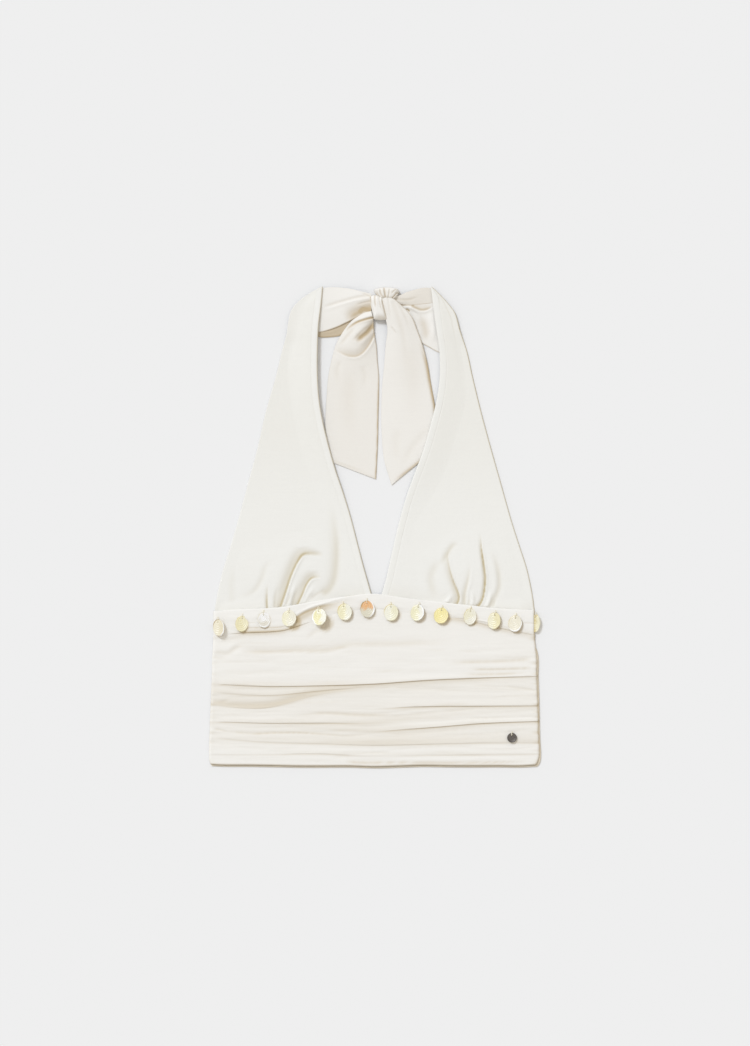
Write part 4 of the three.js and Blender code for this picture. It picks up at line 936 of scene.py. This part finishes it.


# Ribbons of the bow. A section runs between two edge points; lift is the height of its edges
# and arch the extra height half way across. Each ribbon's tone is shade painted over all of it,
# and its creases carry painted shade.
ribbonColumns = "at ax ay bx by lift arch"
ribbons = {
    "tieLeft": {
        "nodes": ["tie_left"],
        "tone": 0.04,
        "acrossIsUp": True,
        "flat": (0.094, 0.046),
        "area": 0.0032,
        "mesh": (90, 50),
        "sections": table(
            ribbonColumns,
            (0, -87, 450, -76, 478.5, 0, 0), (1, -72, 447.6, -65, 486.5, 0.4, 0.1),
            (2, -56.5, 447, -53.5, 492, 0.9, 0.3), (3, -41, 451.5, -41, 493, 1.4, 0.9),
            (4, -26, 458.5, -26, 491.5, 2, 1.8), (5, -15, 463.6, -14, 488.7, 2.6, 2.2),
            (6, -4, 466.6, -4, 486.5, 3, 2),
        ),
        "creases": [
            {"path": [(-54, 472), (-38, 477), (-20, 482), (-3, 485)], "depth": 0.9, "width": 1.6, "ridge": -0.5,
             "fade": (0.2, 0.1), "tone": 0.16},
            {"path": [(-32, 457.5), (-22, 463.5), (-12, 469), (-3, 472)], "depth": 1.2, "width": 3.2, "soft": 2.6,
             "fade": (0.4, 0.0), "tone": 0.5},
            {"path": [(-31, 460), (-20, 467), (-10, 472), (-3, 473)], "depth": 0.6, "width": 6.5,
             "fade": (0.3, 0.0), "tone": 0.4},
            # the hollow where the tie goes into the knot, painted deep in shade
            {"path": [(-16.5, 466.5), (-12, 470.5), (-4, 468)], "depth": 1.8, "width": 1.7, "fade": (0.15, 0.0),
             "tone": 1.2},
            {"path": [(-22, 474), (-12, 477), (-3, 479)], "depth": 0.6, "width": 1.0, "fade": (0.4, 0.05)},
            {"path": [(-14, 487), (-8, 485), (-3, 482)], "depth": 0.6, "width": 1.0, "fade": (0.3, 0.05)},
        ],
    },
    # The tie's folded under-layer, painted deep in shade.
    "tieLeftUnder": {
        "nodes": [],
        "tone": 0.84,
        "acrossIsUp": True,
        "flat": (0.054, 0.014),
        "area": 0.0006,
        "mesh": (60, 16),
        "sections": table(
            ribbonColumns,
            (0, -61, 444, -60, 455, 0, 0), (1, -56.4, 441.6, -56, 456, 0, 0),
            (2, -46, 441.8, -46, 459, 0, 0), (3, -36, 443.6, -36, 463, 0.1, 0),
            (4, -27, 450, -27, 466, 0.3, 0), (5, -17, 455, -18, 470, 0.5, 0),
            (6, -7, 460, -8, 473, 0.6, 0),
        ),
        "creases": [
            {"path": [(-30, 460), (-20, 463), (-7, 467)], "depth": 0.4, "width": 4, "fade": (0.3, 0.05), "tone": 0.6},
            {"path": [(-58, 446), (-46, 447), (-34, 451)], "depth": -0.4, "width": 1.2, "fade": (0.2, 0.2), "tone": 0},
        ],
    },
    "tieRight": {
        "nodes": ["tie_right"],
        "tone": 0.24,
        "acrossIsUp": True,
        "flat": (0.056, 0.02),
        "area": 0.00075,
        "mesh": (60, 30),
        "sections": table(
            ribbonColumns,
            (0, 18, 476.5, 18, 483.8, 3.6, 0.6), (1, 26.5, 475, 26, 484.8, 2.9, 0.9),
            (2, 33, 474.2, 31.5, 487.5, 1.6, 1.2), (3, 41, 474.5, 41, 490.5, 0.7, 0.8),
            (4, 51.5, 475.5, 51.5, 492.6, 0.1, 0.2), (5, 60, 476, 60, 490.5, 0, 0),
            (6, 72, 473.5, 71, 478.5, 0, 0),
        ),
        "creases": [
            {"path": [(20, 481), (34, 480), (46, 484)], "depth": 0.5, "width": 1.4, "fade": (0.1, 0.4)},
        ],
    },
    "tieLoopRight": {
        "nodes": ["tie_loop_right"],
        "tone": 0.03,
        "acrossIsUp": True,
        "flat": (0.049, 0.044),
        "area": 0.0016,
        "mesh": (60, 50),
        "sections": table(
            ribbonColumns,
            (0, 25, 461.5, 25.5, 477, 2.4, 0.6), (1, 34, 452, 36, 477.6, 1.3, 0.6),
            (2, 41, 443.4, 44.5, 477.3, 0.5, 0.6), (3, 47, 436.6, 52, 477.2, 0.1, 0.5),
            (4, 57, 430.6, 59, 477.3, 0, 0.3), (5, 66, 426, 67, 475, 0, 0), (6, 77, 424, 77, 470, 0, 0),
        ),
        "creases": [
            {"path": [(37, 474.6), (42, 472), (48, 470), (54, 471), (60, 474.5)], "depth": 1.1, "width": 1.4,
             "soft": 3.4, "ridge": -0.8, "fade": (0.1, 0.3), "tone": 0.75},
            {"path": [(26, 474.2), (33, 474.8), (41, 475)], "depth": 0.5, "width": 0.9, "fade": (0.1, 0.1),
             "tone": 0.8},
            {"path": [(31.5, 470.6), (34, 469.8), (36, 467.5)], "depth": 1.2, "width": 0.8, "fade": (0.1, 0.3),
             "tone": 1.3},
            {"path": [(31, 473), (39, 471), (45, 466), (47.5, 458)], "depth": -1.1, "width": 1.8,
             "fade": (0.1, 0.4), "tone": 0},
            {"path": [(47, 463), (50, 455), (52, 446), (50, 436)], "depth": 0.7, "width": 4.4, "ridge": 0.4,
             "fade": (0.35, 0.35), "tone": 0.34},
            # painted light on this ridge: its negative tone takes shade away
            {"path": [(56, 470), (60, 455), (61, 440)], "depth": -0.6, "width": 3.0, "fade": (0.3, 0.3), "tone": -0.08},
        ],
    },
    "tailLeft": {
        "nodes": ["tail_left"],
        "tone": 0.1,
        "acrossIsUp": False,
        "flat": (0.056, 0.175),
        "area": 0.0085,
        "mesh": (60, 130),
        "sections": table(
            ribbonColumns,
            (0, -51, 315.5, 1, 295.5, 0, 0), (1, -51.5, 341, 2.8, 332, 0, 0.4),
            (2, -51, 363, 3.3, 360, 0, 0.5), (3, -49.8, 382, 3.8, 381, 0, 0.6),
            (4, -48, 402, 4, 401, 0, 1.2), (5, -44.5, 419, 2.6, 417.5, 0, 2.8),
            (6, -40, 434.5, 1.6, 432, 0.3, 4.4), (7, -32.5, 448, -0.2, 442, 0.9, 5.2),
            (8, -23, 459.5, -1.2, 450, 1.6, 4.6), (9, -12, 466.5, -1.6, 456.5, 2.6, 3.4),
            (10, -3.7, 468.5, -1.7, 461, 3.4, 2.4),
        ),
        "creases": [
            {"path": [(-1, 462), (-11, 459.6), (-19.6, 456.4), (-27, 451), (-30.5, 445)], "depth": 1.6,
             "width": 1.2, "soft": 1.8, "ridge": 0.9, "fade": (0.0, 0.6), "tone": 1.0},
            {"path": [(1, 456.5), (-4, 451.5), (-9, 446), (-14.5, 441.5), (-20, 436.5)],
             "depth": 2.0, "width": 3.1, "ridge": 0.8, "fade": (0.1, 0.25), "tone": 1.0},
            {"path": [(0, 449), (-2, 442), (-7.2, 432.6), (-13.4, 425.4), (-19.6, 422.3), (-27.8, 422.8),
                      (-36, 426.4), (-43, 430.5)],
             "depth": 1.5, "width": 1.3, "soft": -4.0, "ridge": 0.5, "fade": (0.15, 0.35), "tone": 0.62},
            {"path": [(-20, 452), (-29, 442), (-37, 432)], "depth": 0.6, "width": 2.0, "fade": (0.3, 0.3)},
            {"path": [(-6, 454), (-16, 445), (-24, 436)], "depth": 0.7, "width": 1.2, "fade": (0.2, 0.4)},
            {"path": [(-36, 418), (-39, 405), (-36, 390)], "depth": 0.5, "width": 3, "fade": (0.2, 0.5), "tone": 0.08},
            {"path": [(-13, 413), (-10, 400), (-12, 385)], "depth": 0.4, "width": 3, "fade": (0.2, 0.5), "tone": 0.06},
            {"path": [(-24, 412), (-27, 370), (-23, 330)], "depth": 0.4, "width": 9, "fade": (0.3, 0.5), "tone": 0.07},
            # painted shade along the tail's right edge and its lower end
            {"path": [(3.4, 410), (3.4, 381), (2.8, 360), (2.2, 332), (0.6, 297)], "depth": 0.2, "width": 1.3,
             "fade": (0.3, 0.0), "tone": 0.5},
            {"path": [(-50, 316), (-24, 306.5), (0, 296.6)], "depth": 0.2, "width": 1.1, "fade": (0.0, 0.0),
             "tone": 0.4},
        ],
    },
    "tailRight": {
        "nodes": ["tail_right"],
        "tone": 0.06,
        "acrossIsUp": False,
        "flat": (0.058, 0.195),
        "area": 0.0082,
        "mesh": (60, 140),
        "sections": table(
            ribbonColumns,
            (0, 17, 289.5, 63, 327, 0, 0), (1, 9.5, 315, 64, 341, 0, 0.3),
            (2, 7, 341, 63.5, 357, 0, 0.5), (3, 6.5, 366.5, 61.3, 374, 0, 0.6),
            (4, 7.5, 392.5, 57.6, 394, 0, 0.9), (5, 9.5, 413, 54.3, 413, 0.8, 1.6),
            (6, 11, 433.5, 48.8, 434, 2, 2.2), (7, 12.8, 449, 43, 450, 3.2, 2.8),
            (8, 10.4, 462, 37.6, 463, 4.6, 3), (9, 7.4, 474, 27.6, 474, 5.8, 2.4),
            (10, 6.5, 482.8, 17.5, 482.8, 6, 1.6),
        ),
        "creases": [
            {"path": [(16, 453), (20, 448), (22, 444)], "depth": 0.6, "width": 0.9, "ridge": 0.4, "fade": (0.2, 0.4),
             "tone": 0.16},
            {"path": [(18, 480), (24, 462), (30, 440), (33, 405)], "depth": 0.6, "width": 3.0, "fade": (0.1, 0.5),
             "tone": 0.1},
            {"path": [(13.5, 480), (15, 468), (15.5, 456)], "depth": 0.5, "width": 1.2, "fade": (0.0, 0.5), "tone": 0.1},
            {"path": [(17, 481), (24, 475.5), (30, 471)], "depth": -0.7, "width": 1.0, "fade": (0.0, 0.5), "tone": 0},
            {"path": [(23, 478), (31, 463), (37, 448)], "depth": 0.5, "width": 1.6, "fade": (0.1, 0.5), "tone": 0.1},
            {"path": [(34, 440), (39, 400), (40, 350)], "depth": 0.4, "width": 10, "fade": (0.3, 0.5), "tone": 0.07},
            # painted shadow along the tail's right edge and its lower end
            {"path": [(46, 438), (53, 413), (56.5, 394), (60.5, 374), (62.4, 360)], "depth": 0.3, "width": 2.0,
             "fade": (0.3, 0.1), "tone": 0.85},
            {"path": [(18, 290.6), (38, 306.6), (62, 325.5)], "depth": 0.4, "width": 2.4, "fade": (0.35, 0.0),
             "tone": 0.85},
            {"path": [(24, 350), (22, 330), (24, 310)], "depth": 0.3, "width": 5, "fade": (0.3, 0.4), "tone": 0.05},
            {"path": [(60, 352), (40, 330), (26, 306)], "depth": 0.3, "width": 4, "fade": (0.3, 0.4), "tone": 0.06},
        ],
    },
}


def makeRibbon(name):
    settings = ribbons[name]
    sections = settings["sections"]
    last = len(sections) - 1

    def surface(u, v):
        along, across = (u, v) if settings["acrossIsUp"] else (v, u)
        across = closeAtEnds(across, 0.45)
        column = {key: follow(sections, "at", key, along * last) for key in ribbonColumns.split()[1:]}
        x = mix(column["ax"], column["bx"], across)
        y = mix(column["ay"], column["by"], across)
        width = np.hypot(column["bx"] - column["ax"], column["by"] - column["ay"])
        fromEdge = np.minimum(across, 1 - across) * width
        z = np.clip(column["lift"] + column["arch"] * np.sin(np.pi * across), 0, None) + cloth
        relief, shade = creases(x, y, settings["creases"])
        z += relief + 0.12 * ripple(x, y, 20, 24, 6.6)
        ground = np.clip(column["lift"], 0, None) + 0.85
        ends = roundedEdge((1 - along) * last, 0.1) if not settings["acrossIsUp"] else 1
        z = np.maximum(z, ground + 0.3)
        # Painted shade along the ribbon edge that faces away from the light, a little along the other.
        dark = across < 0.5 if settings["acrossIsUp"] else across > 0.5
        shade += settings["tone"] + np.where(dark, 0.55, 0.12) * np.exp(-((fromEdge / 0.8) ** 2))
        return x, y, ground + (z - ground) * roundedEdge(fromEdge, 1.0) * ends, shade

    piece = clothPiece(name, *settings["mesh"], surface, 0.8, tieCloth)
    standFor(piece, "tie_cloth", *settings["nodes"])
    return piece


# The knot: a band that wraps it from top to bottom, and the gathered cloth above it. Each has
# shade painted over all of it (tone), more towards its rim, and in its creases.
knot = {
    "knotWrap": {
        "node": "knot_wrap", "low": 459, "top": 485, "leftLow": -1.8, "leftTop": -6.4, "rightLow": 13.2,
        "rightTop": 8.2, "round": 0.16, "height": 10.8, "foot": 3.4, "tone": 0.02, "mesh": (60, 80),
        "flat": (0.024, 0.034),
        "creases": [
            {"path": [(-4.5, 485), (-4.8, 480), (-4, 475)], "depth": 0.8, "width": 0.8, "fade": (0.0, 0.4),
             "tone": 0.7},
            {"path": [(0, 485), (0, 478), (1, 470)], "depth": 0.8, "width": 0.9, "ridge": 0.5,
             "fade": (0.0, 0.4), "tone": 0.5},
            {"path": [(4.5, 485), (5, 477), (8, 466)], "depth": 0.8, "width": 0.8, "ridge": 0.4,
             "fade": (0.0, 0.4), "tone": 0.3},
            {"path": [(7.5, 480), (9.5, 471), (12, 461)], "depth": 0.6, "width": 1.3, "fade": (0.1, 0.2),
             "tone": 0.6},
            {"path": [(2, 462), (7, 461.5), (12, 461)], "depth": 0.3, "width": 2.6, "fade": (0.2, 0.1),
             "tone": 0.25},
        ],
    },
    "knotCore": {
        "node": "knot_core", "low": 480.2, "top": 493, "leftLow": 4, "leftTop": -3.5, "rightLow": 22.5,
        "rightTop": 26.5, "round": 0.42, "height": 10.4, "foot": 5.4, "tone": 0.12, "mesh": (80, 50),
        "flat": (0.034, 0.020),
        "creases": [
            {"path": [(11.2, 480), (10.4, 485), (9.2, 493)], "depth": 1.6, "width": 0.9, "ridge": 0.5,
             "fade": (0.0, 0.1), "tone": 0.6},
            {"path": [(9, 482), (6, 486), (5, 492)], "depth": 1.0, "width": 0.8, "ridge": 0.4,
             "fade": (0.0, 0.2), "tone": 0.4},
            {"path": [(7, 481), (3.5, 484), (1.5, 489)], "depth": 0.8, "width": 0.8,
             "fade": (0.0, 0.2), "tone": 0.3},
            {"path": [(13.5, 482), (14.5, 487), (15, 492)], "depth": 0.7, "width": 0.7, "ridge": 0.3,
             "fade": (0.0, 0.2), "tone": 0.25},
            {"path": [(25, 485.5), (22.5, 487), (20, 484), (16.5, 480.5)], "depth": 1.1, "width": 0.7,
             "ridge": 0.5, "fade": (0.1, 0.1), "tone": 0.55},
            {"path": [(22, 491), (19, 488.5), (17, 486)], "depth": 0.6, "width": 0.7, "fade": (0.1, 0.3),
             "tone": 0.3},
        ],
    },
}


def makeKnotPiece(name):
    settings = knot[name]
    middle = (settings["top"] + settings["low"]) / 2
    halfHigh = (settings["top"] - settings["low"]) / 2

    def surface(u, v):
        across = np.sin((u - 0.5) * np.pi)
        along = np.sin((v - 0.5) * np.pi)
        height = (along + 1) / 2
        left = mix(settings["leftLow"], settings["leftTop"], height)
        right = mix(settings["rightLow"], settings["rightTop"], height)
        x = mix(left, right, (1 + across * np.sqrt(1 - settings["round"] * along**2)) / 2)
        y = middle + halfHigh * along * np.sqrt(1 - settings["round"] * across**2)
        foot = settings["foot"] * (1 - smooth(v, 0, 0.35))
        rim = np.maximum(across**4, along**4)
        inner = np.sqrt(np.clip(1 - rim, 0, 1))
        z = mix(foot + 0.6, settings["height"], inner)
        relief, shade = creases(x, y, settings["creases"])
        # Painted shade, deeper towards the rim.
        shade += settings["tone"] + 0.3 * (1 - smooth(inner, 0, 0.5))
        return x, y, z + relief * smooth(inner, 0.1, 0.6), shade

    piece = clothPiece(name, *settings["mesh"], surface, 0.8, tieCloth)
    standFor(piece, "tie_cloth", settings["node"])
    return piece


makeBackBand()
makeWaistband()
makeUnderbust()
print("waist and underbust made")
for side in ("left", "right"):
    makeCup(side)
print("cups made")
for name in ribbons:
    makeRibbon(name)
for name in knot:
    makeKnotPiece(name)
print("bow made")

def discPlace(row, index):
    tiltAcross, tiltAlong = math.radians(row["across"]), math.radians(row["along"])
    reach = math.hypot(math.sin(tiltAcross) * row["wide"], math.sin(tiltAlong) * row["high"])
    floor = 0.1 if index == len(discs) - 1 else disc["deck"]
    z = floor + (disc["thickness"] + reach) / 2
    turn = Matrix.Rotation(math.radians(row["turn"]), 4, "Z")
    tilt = Matrix.Rotation(-tiltAlong, 4, "X") @ Matrix.Rotation(-tiltAcross, 4, "Y")
    centre = Vector(toFrame(row["x"], row["y"], z))
    return Matrix.Translation(centre) @ tilt @ turn


# Mother-of-pearl: two colours run into each other, with growth rings and crescents at the rim.
def shellFinish(name, row, centre):
    finish = Finish(name)
    half = (2 / row["wide"] / mm, 2 / row["high"] / mm)

    def unit(shift=(0, 0)):
        return finish.node(
            "ShaderNodeMapping", {},
            {"Vector": finish.place, "Scale": (*half, 0),
             "Location": (shift[0] - centre.x * half[0], shift[1] - centre.y * half[1], 0)},
        ).outputs[0]

    def ramp(value, low, high):
        made = finish.node(
            "ShaderNodeMapRange", {"interpolation_type": "SMOOTHSTEP"}, {"Value": value, 1: low, 2: high}
        )
        return Amount(finish, made.outputs[0])

    def length(vector):
        return Amount(
            finish, finish.node("ShaderNodeVectorMath", {"operation": "LENGTH"}, {0: vector}).outputs["Value"]
        )

    def crescent(angle, shift, low, high):
        turn = math.radians(angle)
        return ramp(length(unit((shift * math.cos(turn), shift * math.sin(turn)))), low, high)

    lean = math.radians(row["lean"])
    along = finish.node(
        "ShaderNodeVectorMath", {"operation": "DOT_PRODUCT"},
        {0: unit(), 1: (math.cos(lean), math.sin(lean), 0)},
    )
    cloud = finish.noise((210, 190, 210), detail=3)
    wobble = finish.noise((600, 420, 600), detail=2)
    rings = finish.node(
        "ShaderNodeMath", {"operation": "SINE"}, {0: (length(unit((0.15, -0.3))) + wobble * 0.16) * 26.0}
    )
    rings = Amount(finish, rings.outputs[0])
    run = ramp(Amount(finish, along.outputs["Value"]) + (cloud - 0.5) * 2.4, -0.45, 0.45)
    tint = finish.blend(run, (*row["body"], 1), (*row["side"], 1))
    tint = finish.blend(ramp(rings, -0.2, 1.0) * 0.3 * wobble, tint, (0.97, 0.96, 0.94, 1))
    # Painted shade on the rim at the lower right over its edge colour, and a painted highlight (glint).
    tint = finish.blend(crescent(-45, -0.14, 1.0, 1.12) * 0.9, tint, (*row["edge"], 1))
    if row["glint"] is not None:
        tint = finish.blend(crescent(row["glint"], -0.26, 0.98, 1.14), tint, (0.97, 0.97, 0.96, 1))
    finish.set(
        Base_Color=tint,
        Roughness=0.32,
        Coat_Weight=0.35,
        Coat_Roughness=0.15,
        Specular_IOR_Level=0.5,
    )
    finish.bump(rings * 0.35 + cloud * 2.0, 0.0003)
    return finish.material


def makeDisc(index, row):
    name = f"shellDisc{index + 1:02d}"
    bm = bmesh.new()
    steps = 48
    made = bmesh.ops.create_circle(bm, cap_ends=False, radius=1.0, segments=steps)
    edge = made["verts"]
    wave = rng.uniform(-1, 1, 6)
    for vert in edge:
        angle = math.atan2(vert.co.y, vert.co.x)
        frill = 1 + 0.012 * sum(wave[k] * math.sin((k * 3 + 2) * angle + wave[k] * 3) for k in range(6))
        vert.co.x *= row["wide"] / 2 * frill * mm
        vert.co.y *= row["high"] / 2 * frill * mm
    holeY = (row["high"] / 2 - disc["holeInset"]) * mm
    hole = bmesh.ops.create_circle(bm, cap_ends=False, radius=disc["hole"] * mm, segments=steps)
    bmesh.ops.translate(bm, verts=hole["verts"], vec=(0, holeY, 0))
    bmesh.ops.bridge_loops(bm, edges=bm.edges[:])
    # rings between the rim and the hole, so that the face can be dished
    cross = [e for e in bm.edges if (e.verts[0] in edge) != (e.verts[1] in edge)]
    bmesh.ops.subdivide_edges(bm, edges=cross, cuts=7, use_grid_fill=True)
    for vert in bm.verts:
        x, y = vert.co.x * 2 / row["wide"] / mm, vert.co.y * 2 / row["high"] / mm
        dish = 0.3 * min(x * x + y * y, 1) + 0.12 * wave[0] * x * x + 0.12 * wave[1] * y
        vert.co.z = (disc["thickness"] / 2 - 0.3 + dish) * mm
    bmesh.ops.recalc_face_normals(bm, faces=bm.faces)
    if sum(face.normal.z for face in bm.faces) < 0:
        bmesh.ops.reverse_faces(bm, faces=bm.faces)
    place = discPlace(row, index)
    bmesh.ops.transform(bm, matrix=place, verts=bm.verts)
    piece = finishMesh(name, bm, shellFinish(name, row, place.translation))
    wall = piece.modifiers.new("wall", "SOLIDIFY")
    wall.thickness = disc["thickness"] * mm
    wall.offset = -1
    soften = piece.modifiers.new("soften", "BEVEL")
    soften.width = 0.2 * mm
    soften.segments = 2
    soften.limit_method = "ANGLE"
    standFor(piece, "shell", f"disc_{index + 1:02d}")
    return place


# Loops of thread that hold a disc to the band, and the badge to the front.
threadLoop = {"thick": 0.28, "wide": 1.2, "long": 2.6, "above": 2.6, "turn": 1.5}
badgeStitch = {"thick": 0.34, "wide": 0.75, "long": 1.9, "turn": -12}


def makeThreadLoop(name, loop, middle, turn):
    bm = bmesh.new()
    ring = bmesh.ops.create_circle(bm, radius=loop["thick"] * mm, segments=8)
    bmesh.ops.translate(bm, verts=ring["verts"], vec=(loop["wide"] * mm, 0, 0))
    bmesh.ops.rotate(
        bm, verts=ring["verts"], cent=(0, 0, 0), matrix=Matrix.Rotation(math.pi / 2, 3, "X")
    )
    bmesh.ops.spin(
        bm, geom=bm.verts[:] + bm.edges[:], cent=(0, 0, 0), axis=(0, 0, 1),
        angle=math.tau, steps=24, use_merge=True,
    )
    stretch = (loop["long"] - loop["wide"]) * mm
    for vert in bm.verts:
        vert.co.y += stretch * (1 if vert.co.y > 0 else -1)
    bmesh.ops.rotate(bm, verts=bm.verts, cent=(0, 0, 0), matrix=Matrix.Rotation(math.radians(55), 3, "Y"))
    bmesh.ops.recalc_face_normals(bm, faces=bm.faces)
    lean = Matrix.Rotation(math.radians(turn), 4, "Z")
    bmesh.ops.transform(bm, matrix=Matrix.Translation(middle) @ lean, verts=bm.verts)
    standFor(finishMesh(name, bm, thread), "cup_cloth")


for index, row in enumerate(discs):
    hole = makeDisc(index, row) @ Vector((0, (row["high"] / 2 - disc["holeInset"]) * mm, 0))
    middle = hole + Vector((0, threadLoop["above"] * mm, 0.1 * mm))
    makeThreadLoop(f"threadLoop{index + 1:02d}", threadLoop, middle, row["turn"] * threadLoop["turn"])
print("shell discs made")

badge = {"x": 141.0, "y": 29.3, "radius": 5.0, "rise": 4.2, "thickness": 1.3, "rim": 0.9, "recess": 0.4}


def gunmetalFinish():
    finish = Finish("gunmetal")
    grain = finish.noise((900, 5200, 900), detail=3, turn=0.4)
    worn = finish.noise((420, 420, 420), detail=2)
    finish.set(
        Base_Color=finish.blend(worn, (0.10, 0.092, 0.086, 1), (0.27, 0.25, 0.235, 1)),
        Metallic=1.0,
        Roughness=grain * 0.2 + 0.25,
    )
    finish.bump(grain, 0.00003)
    return finish.material


def makeBadge():
    bm = bmesh.new()
    profile = [
        (0.0, badge["thickness"] - badge["recess"]),
        (badge["radius"] - badge["rim"], badge["thickness"] - badge["recess"]),
        (badge["radius"] - badge["rim"], badge["thickness"]),
        (badge["radius"], badge["thickness"]),
        (badge["radius"], 0.0),
        (0.0, 0.0),
    ]
    verts = [bm.verts.new((r * mm, 0, z * mm)) for r, z in profile]
    edges = [bm.edges.new(pair) for pair in zip(verts, verts[1:])]
    bmesh.ops.spin(
        bm, geom=verts + edges, cent=(0, 0, 0), axis=(0, 0, 1), angle=math.tau, steps=48, use_merge=True
    )
    bmesh.ops.remove_doubles(bm, verts=bm.verts, dist=0.01 * mm)
    bmesh.ops.recalc_face_normals(bm, faces=bm.faces)
    bmesh.ops.translate(bm, verts=bm.verts, vec=toFrame(badge["x"], badge["y"], badge["rise"]))
    piece = finishMesh("metalBadge", bm, gunmetalFinish())
    soften = piece.modifiers.new("soften", "BEVEL")
    soften.width = 0.15 * mm
    soften.segments = 2
    soften.limit_method = "ANGLE"
    standFor(piece, "badge_metal", "badge")


makeBadge()
stitchPlace = toFrame(badge["x"], badge["y"] + badge["radius"] - 0.6, badge["rise"] + badge["thickness"])
makeThreadLoop("badgeStitch", badgeStitch, Vector(stitchPlace), badgeStitch["turn"])
print("badge made")

# Studio: a plain pale floor, one soft light from the upper left and an even sky.
studio = {
    "floor": (0.859, 0.859, 0.859),
    "sky": (0.70, 0.672, 0.63),
    "sun": (1.347, 1.471, 1.658),
    "sunSize": 14.0,
    "sunFrom": (-0.62, 0.78, 1.0),
}
photo = {"millimetresPerPixel": 1.03, "width": 750, "height": 1046, "middleX": 375, "hemRow": 766.0}
camera = {"distance": 6.0, "sensor": 36.0}


def makeStudio():
    bm = bmesh.new()
    bmesh.ops.create_grid(bm, x_segments=1, y_segments=1, size=6.0)
    finish = Finish("paleFloor")
    finish.set(Base_Color=(*studio["floor"], 1), Roughness=0.95, Specular_IOR_Level=0.0)
    floor = finishMesh("floor", bm, finish.material)
    floor.location.z = -0.0001
    world = bpy.data.worlds.new("sky")
    world.use_nodes = True
    world.node_tree.nodes["Background"].inputs["Color"].default_value = (*studio["sky"], 1)
    bpy.context.scene.world = world
    sun = bpy.data.lights.new("softSun", "SUN")
    sun.energy = 1.0
    sun.color = studio["sun"]
    sun.angle = math.radians(studio["sunSize"])
    lamp = bpy.data.objects.new("softSun", sun)
    lamp.rotation_mode = "QUATERNION"
    lamp.rotation_quaternion = Vector(studio["sunFrom"]).to_track_quat("Z", "Y")
    bpy.context.scene.collection.objects.link(lamp)


def makeCamera():
    scale = photo["millimetresPerPixel"]
    data = bpy.data.cameras.new("overhead")
    data.sensor_width = camera["sensor"]
    data.lens = camera["sensor"] * camera["distance"] / (photo["height"] * scale * mm)
    data.clip_end = 50.0
    eye = bpy.data.objects.new("overhead", data)
    upFromHem = (photo["hemRow"] - photo["height"] / 2) * scale
    across = (photo["width"] / 2 - photo["middleX"]) * scale
    eye.location = toFrame(across, upFromHem, camera["distance"] / mm)
    bpy.context.scene.collection.objects.link(eye)
    bpy.context.scene.camera = eye
    bpy.context.scene.view_settings.view_transform = "Standard"
    bpy.context.scene.view_settings.look = "None"


makeStudio()
makeCamera()
print("studio and camera made")
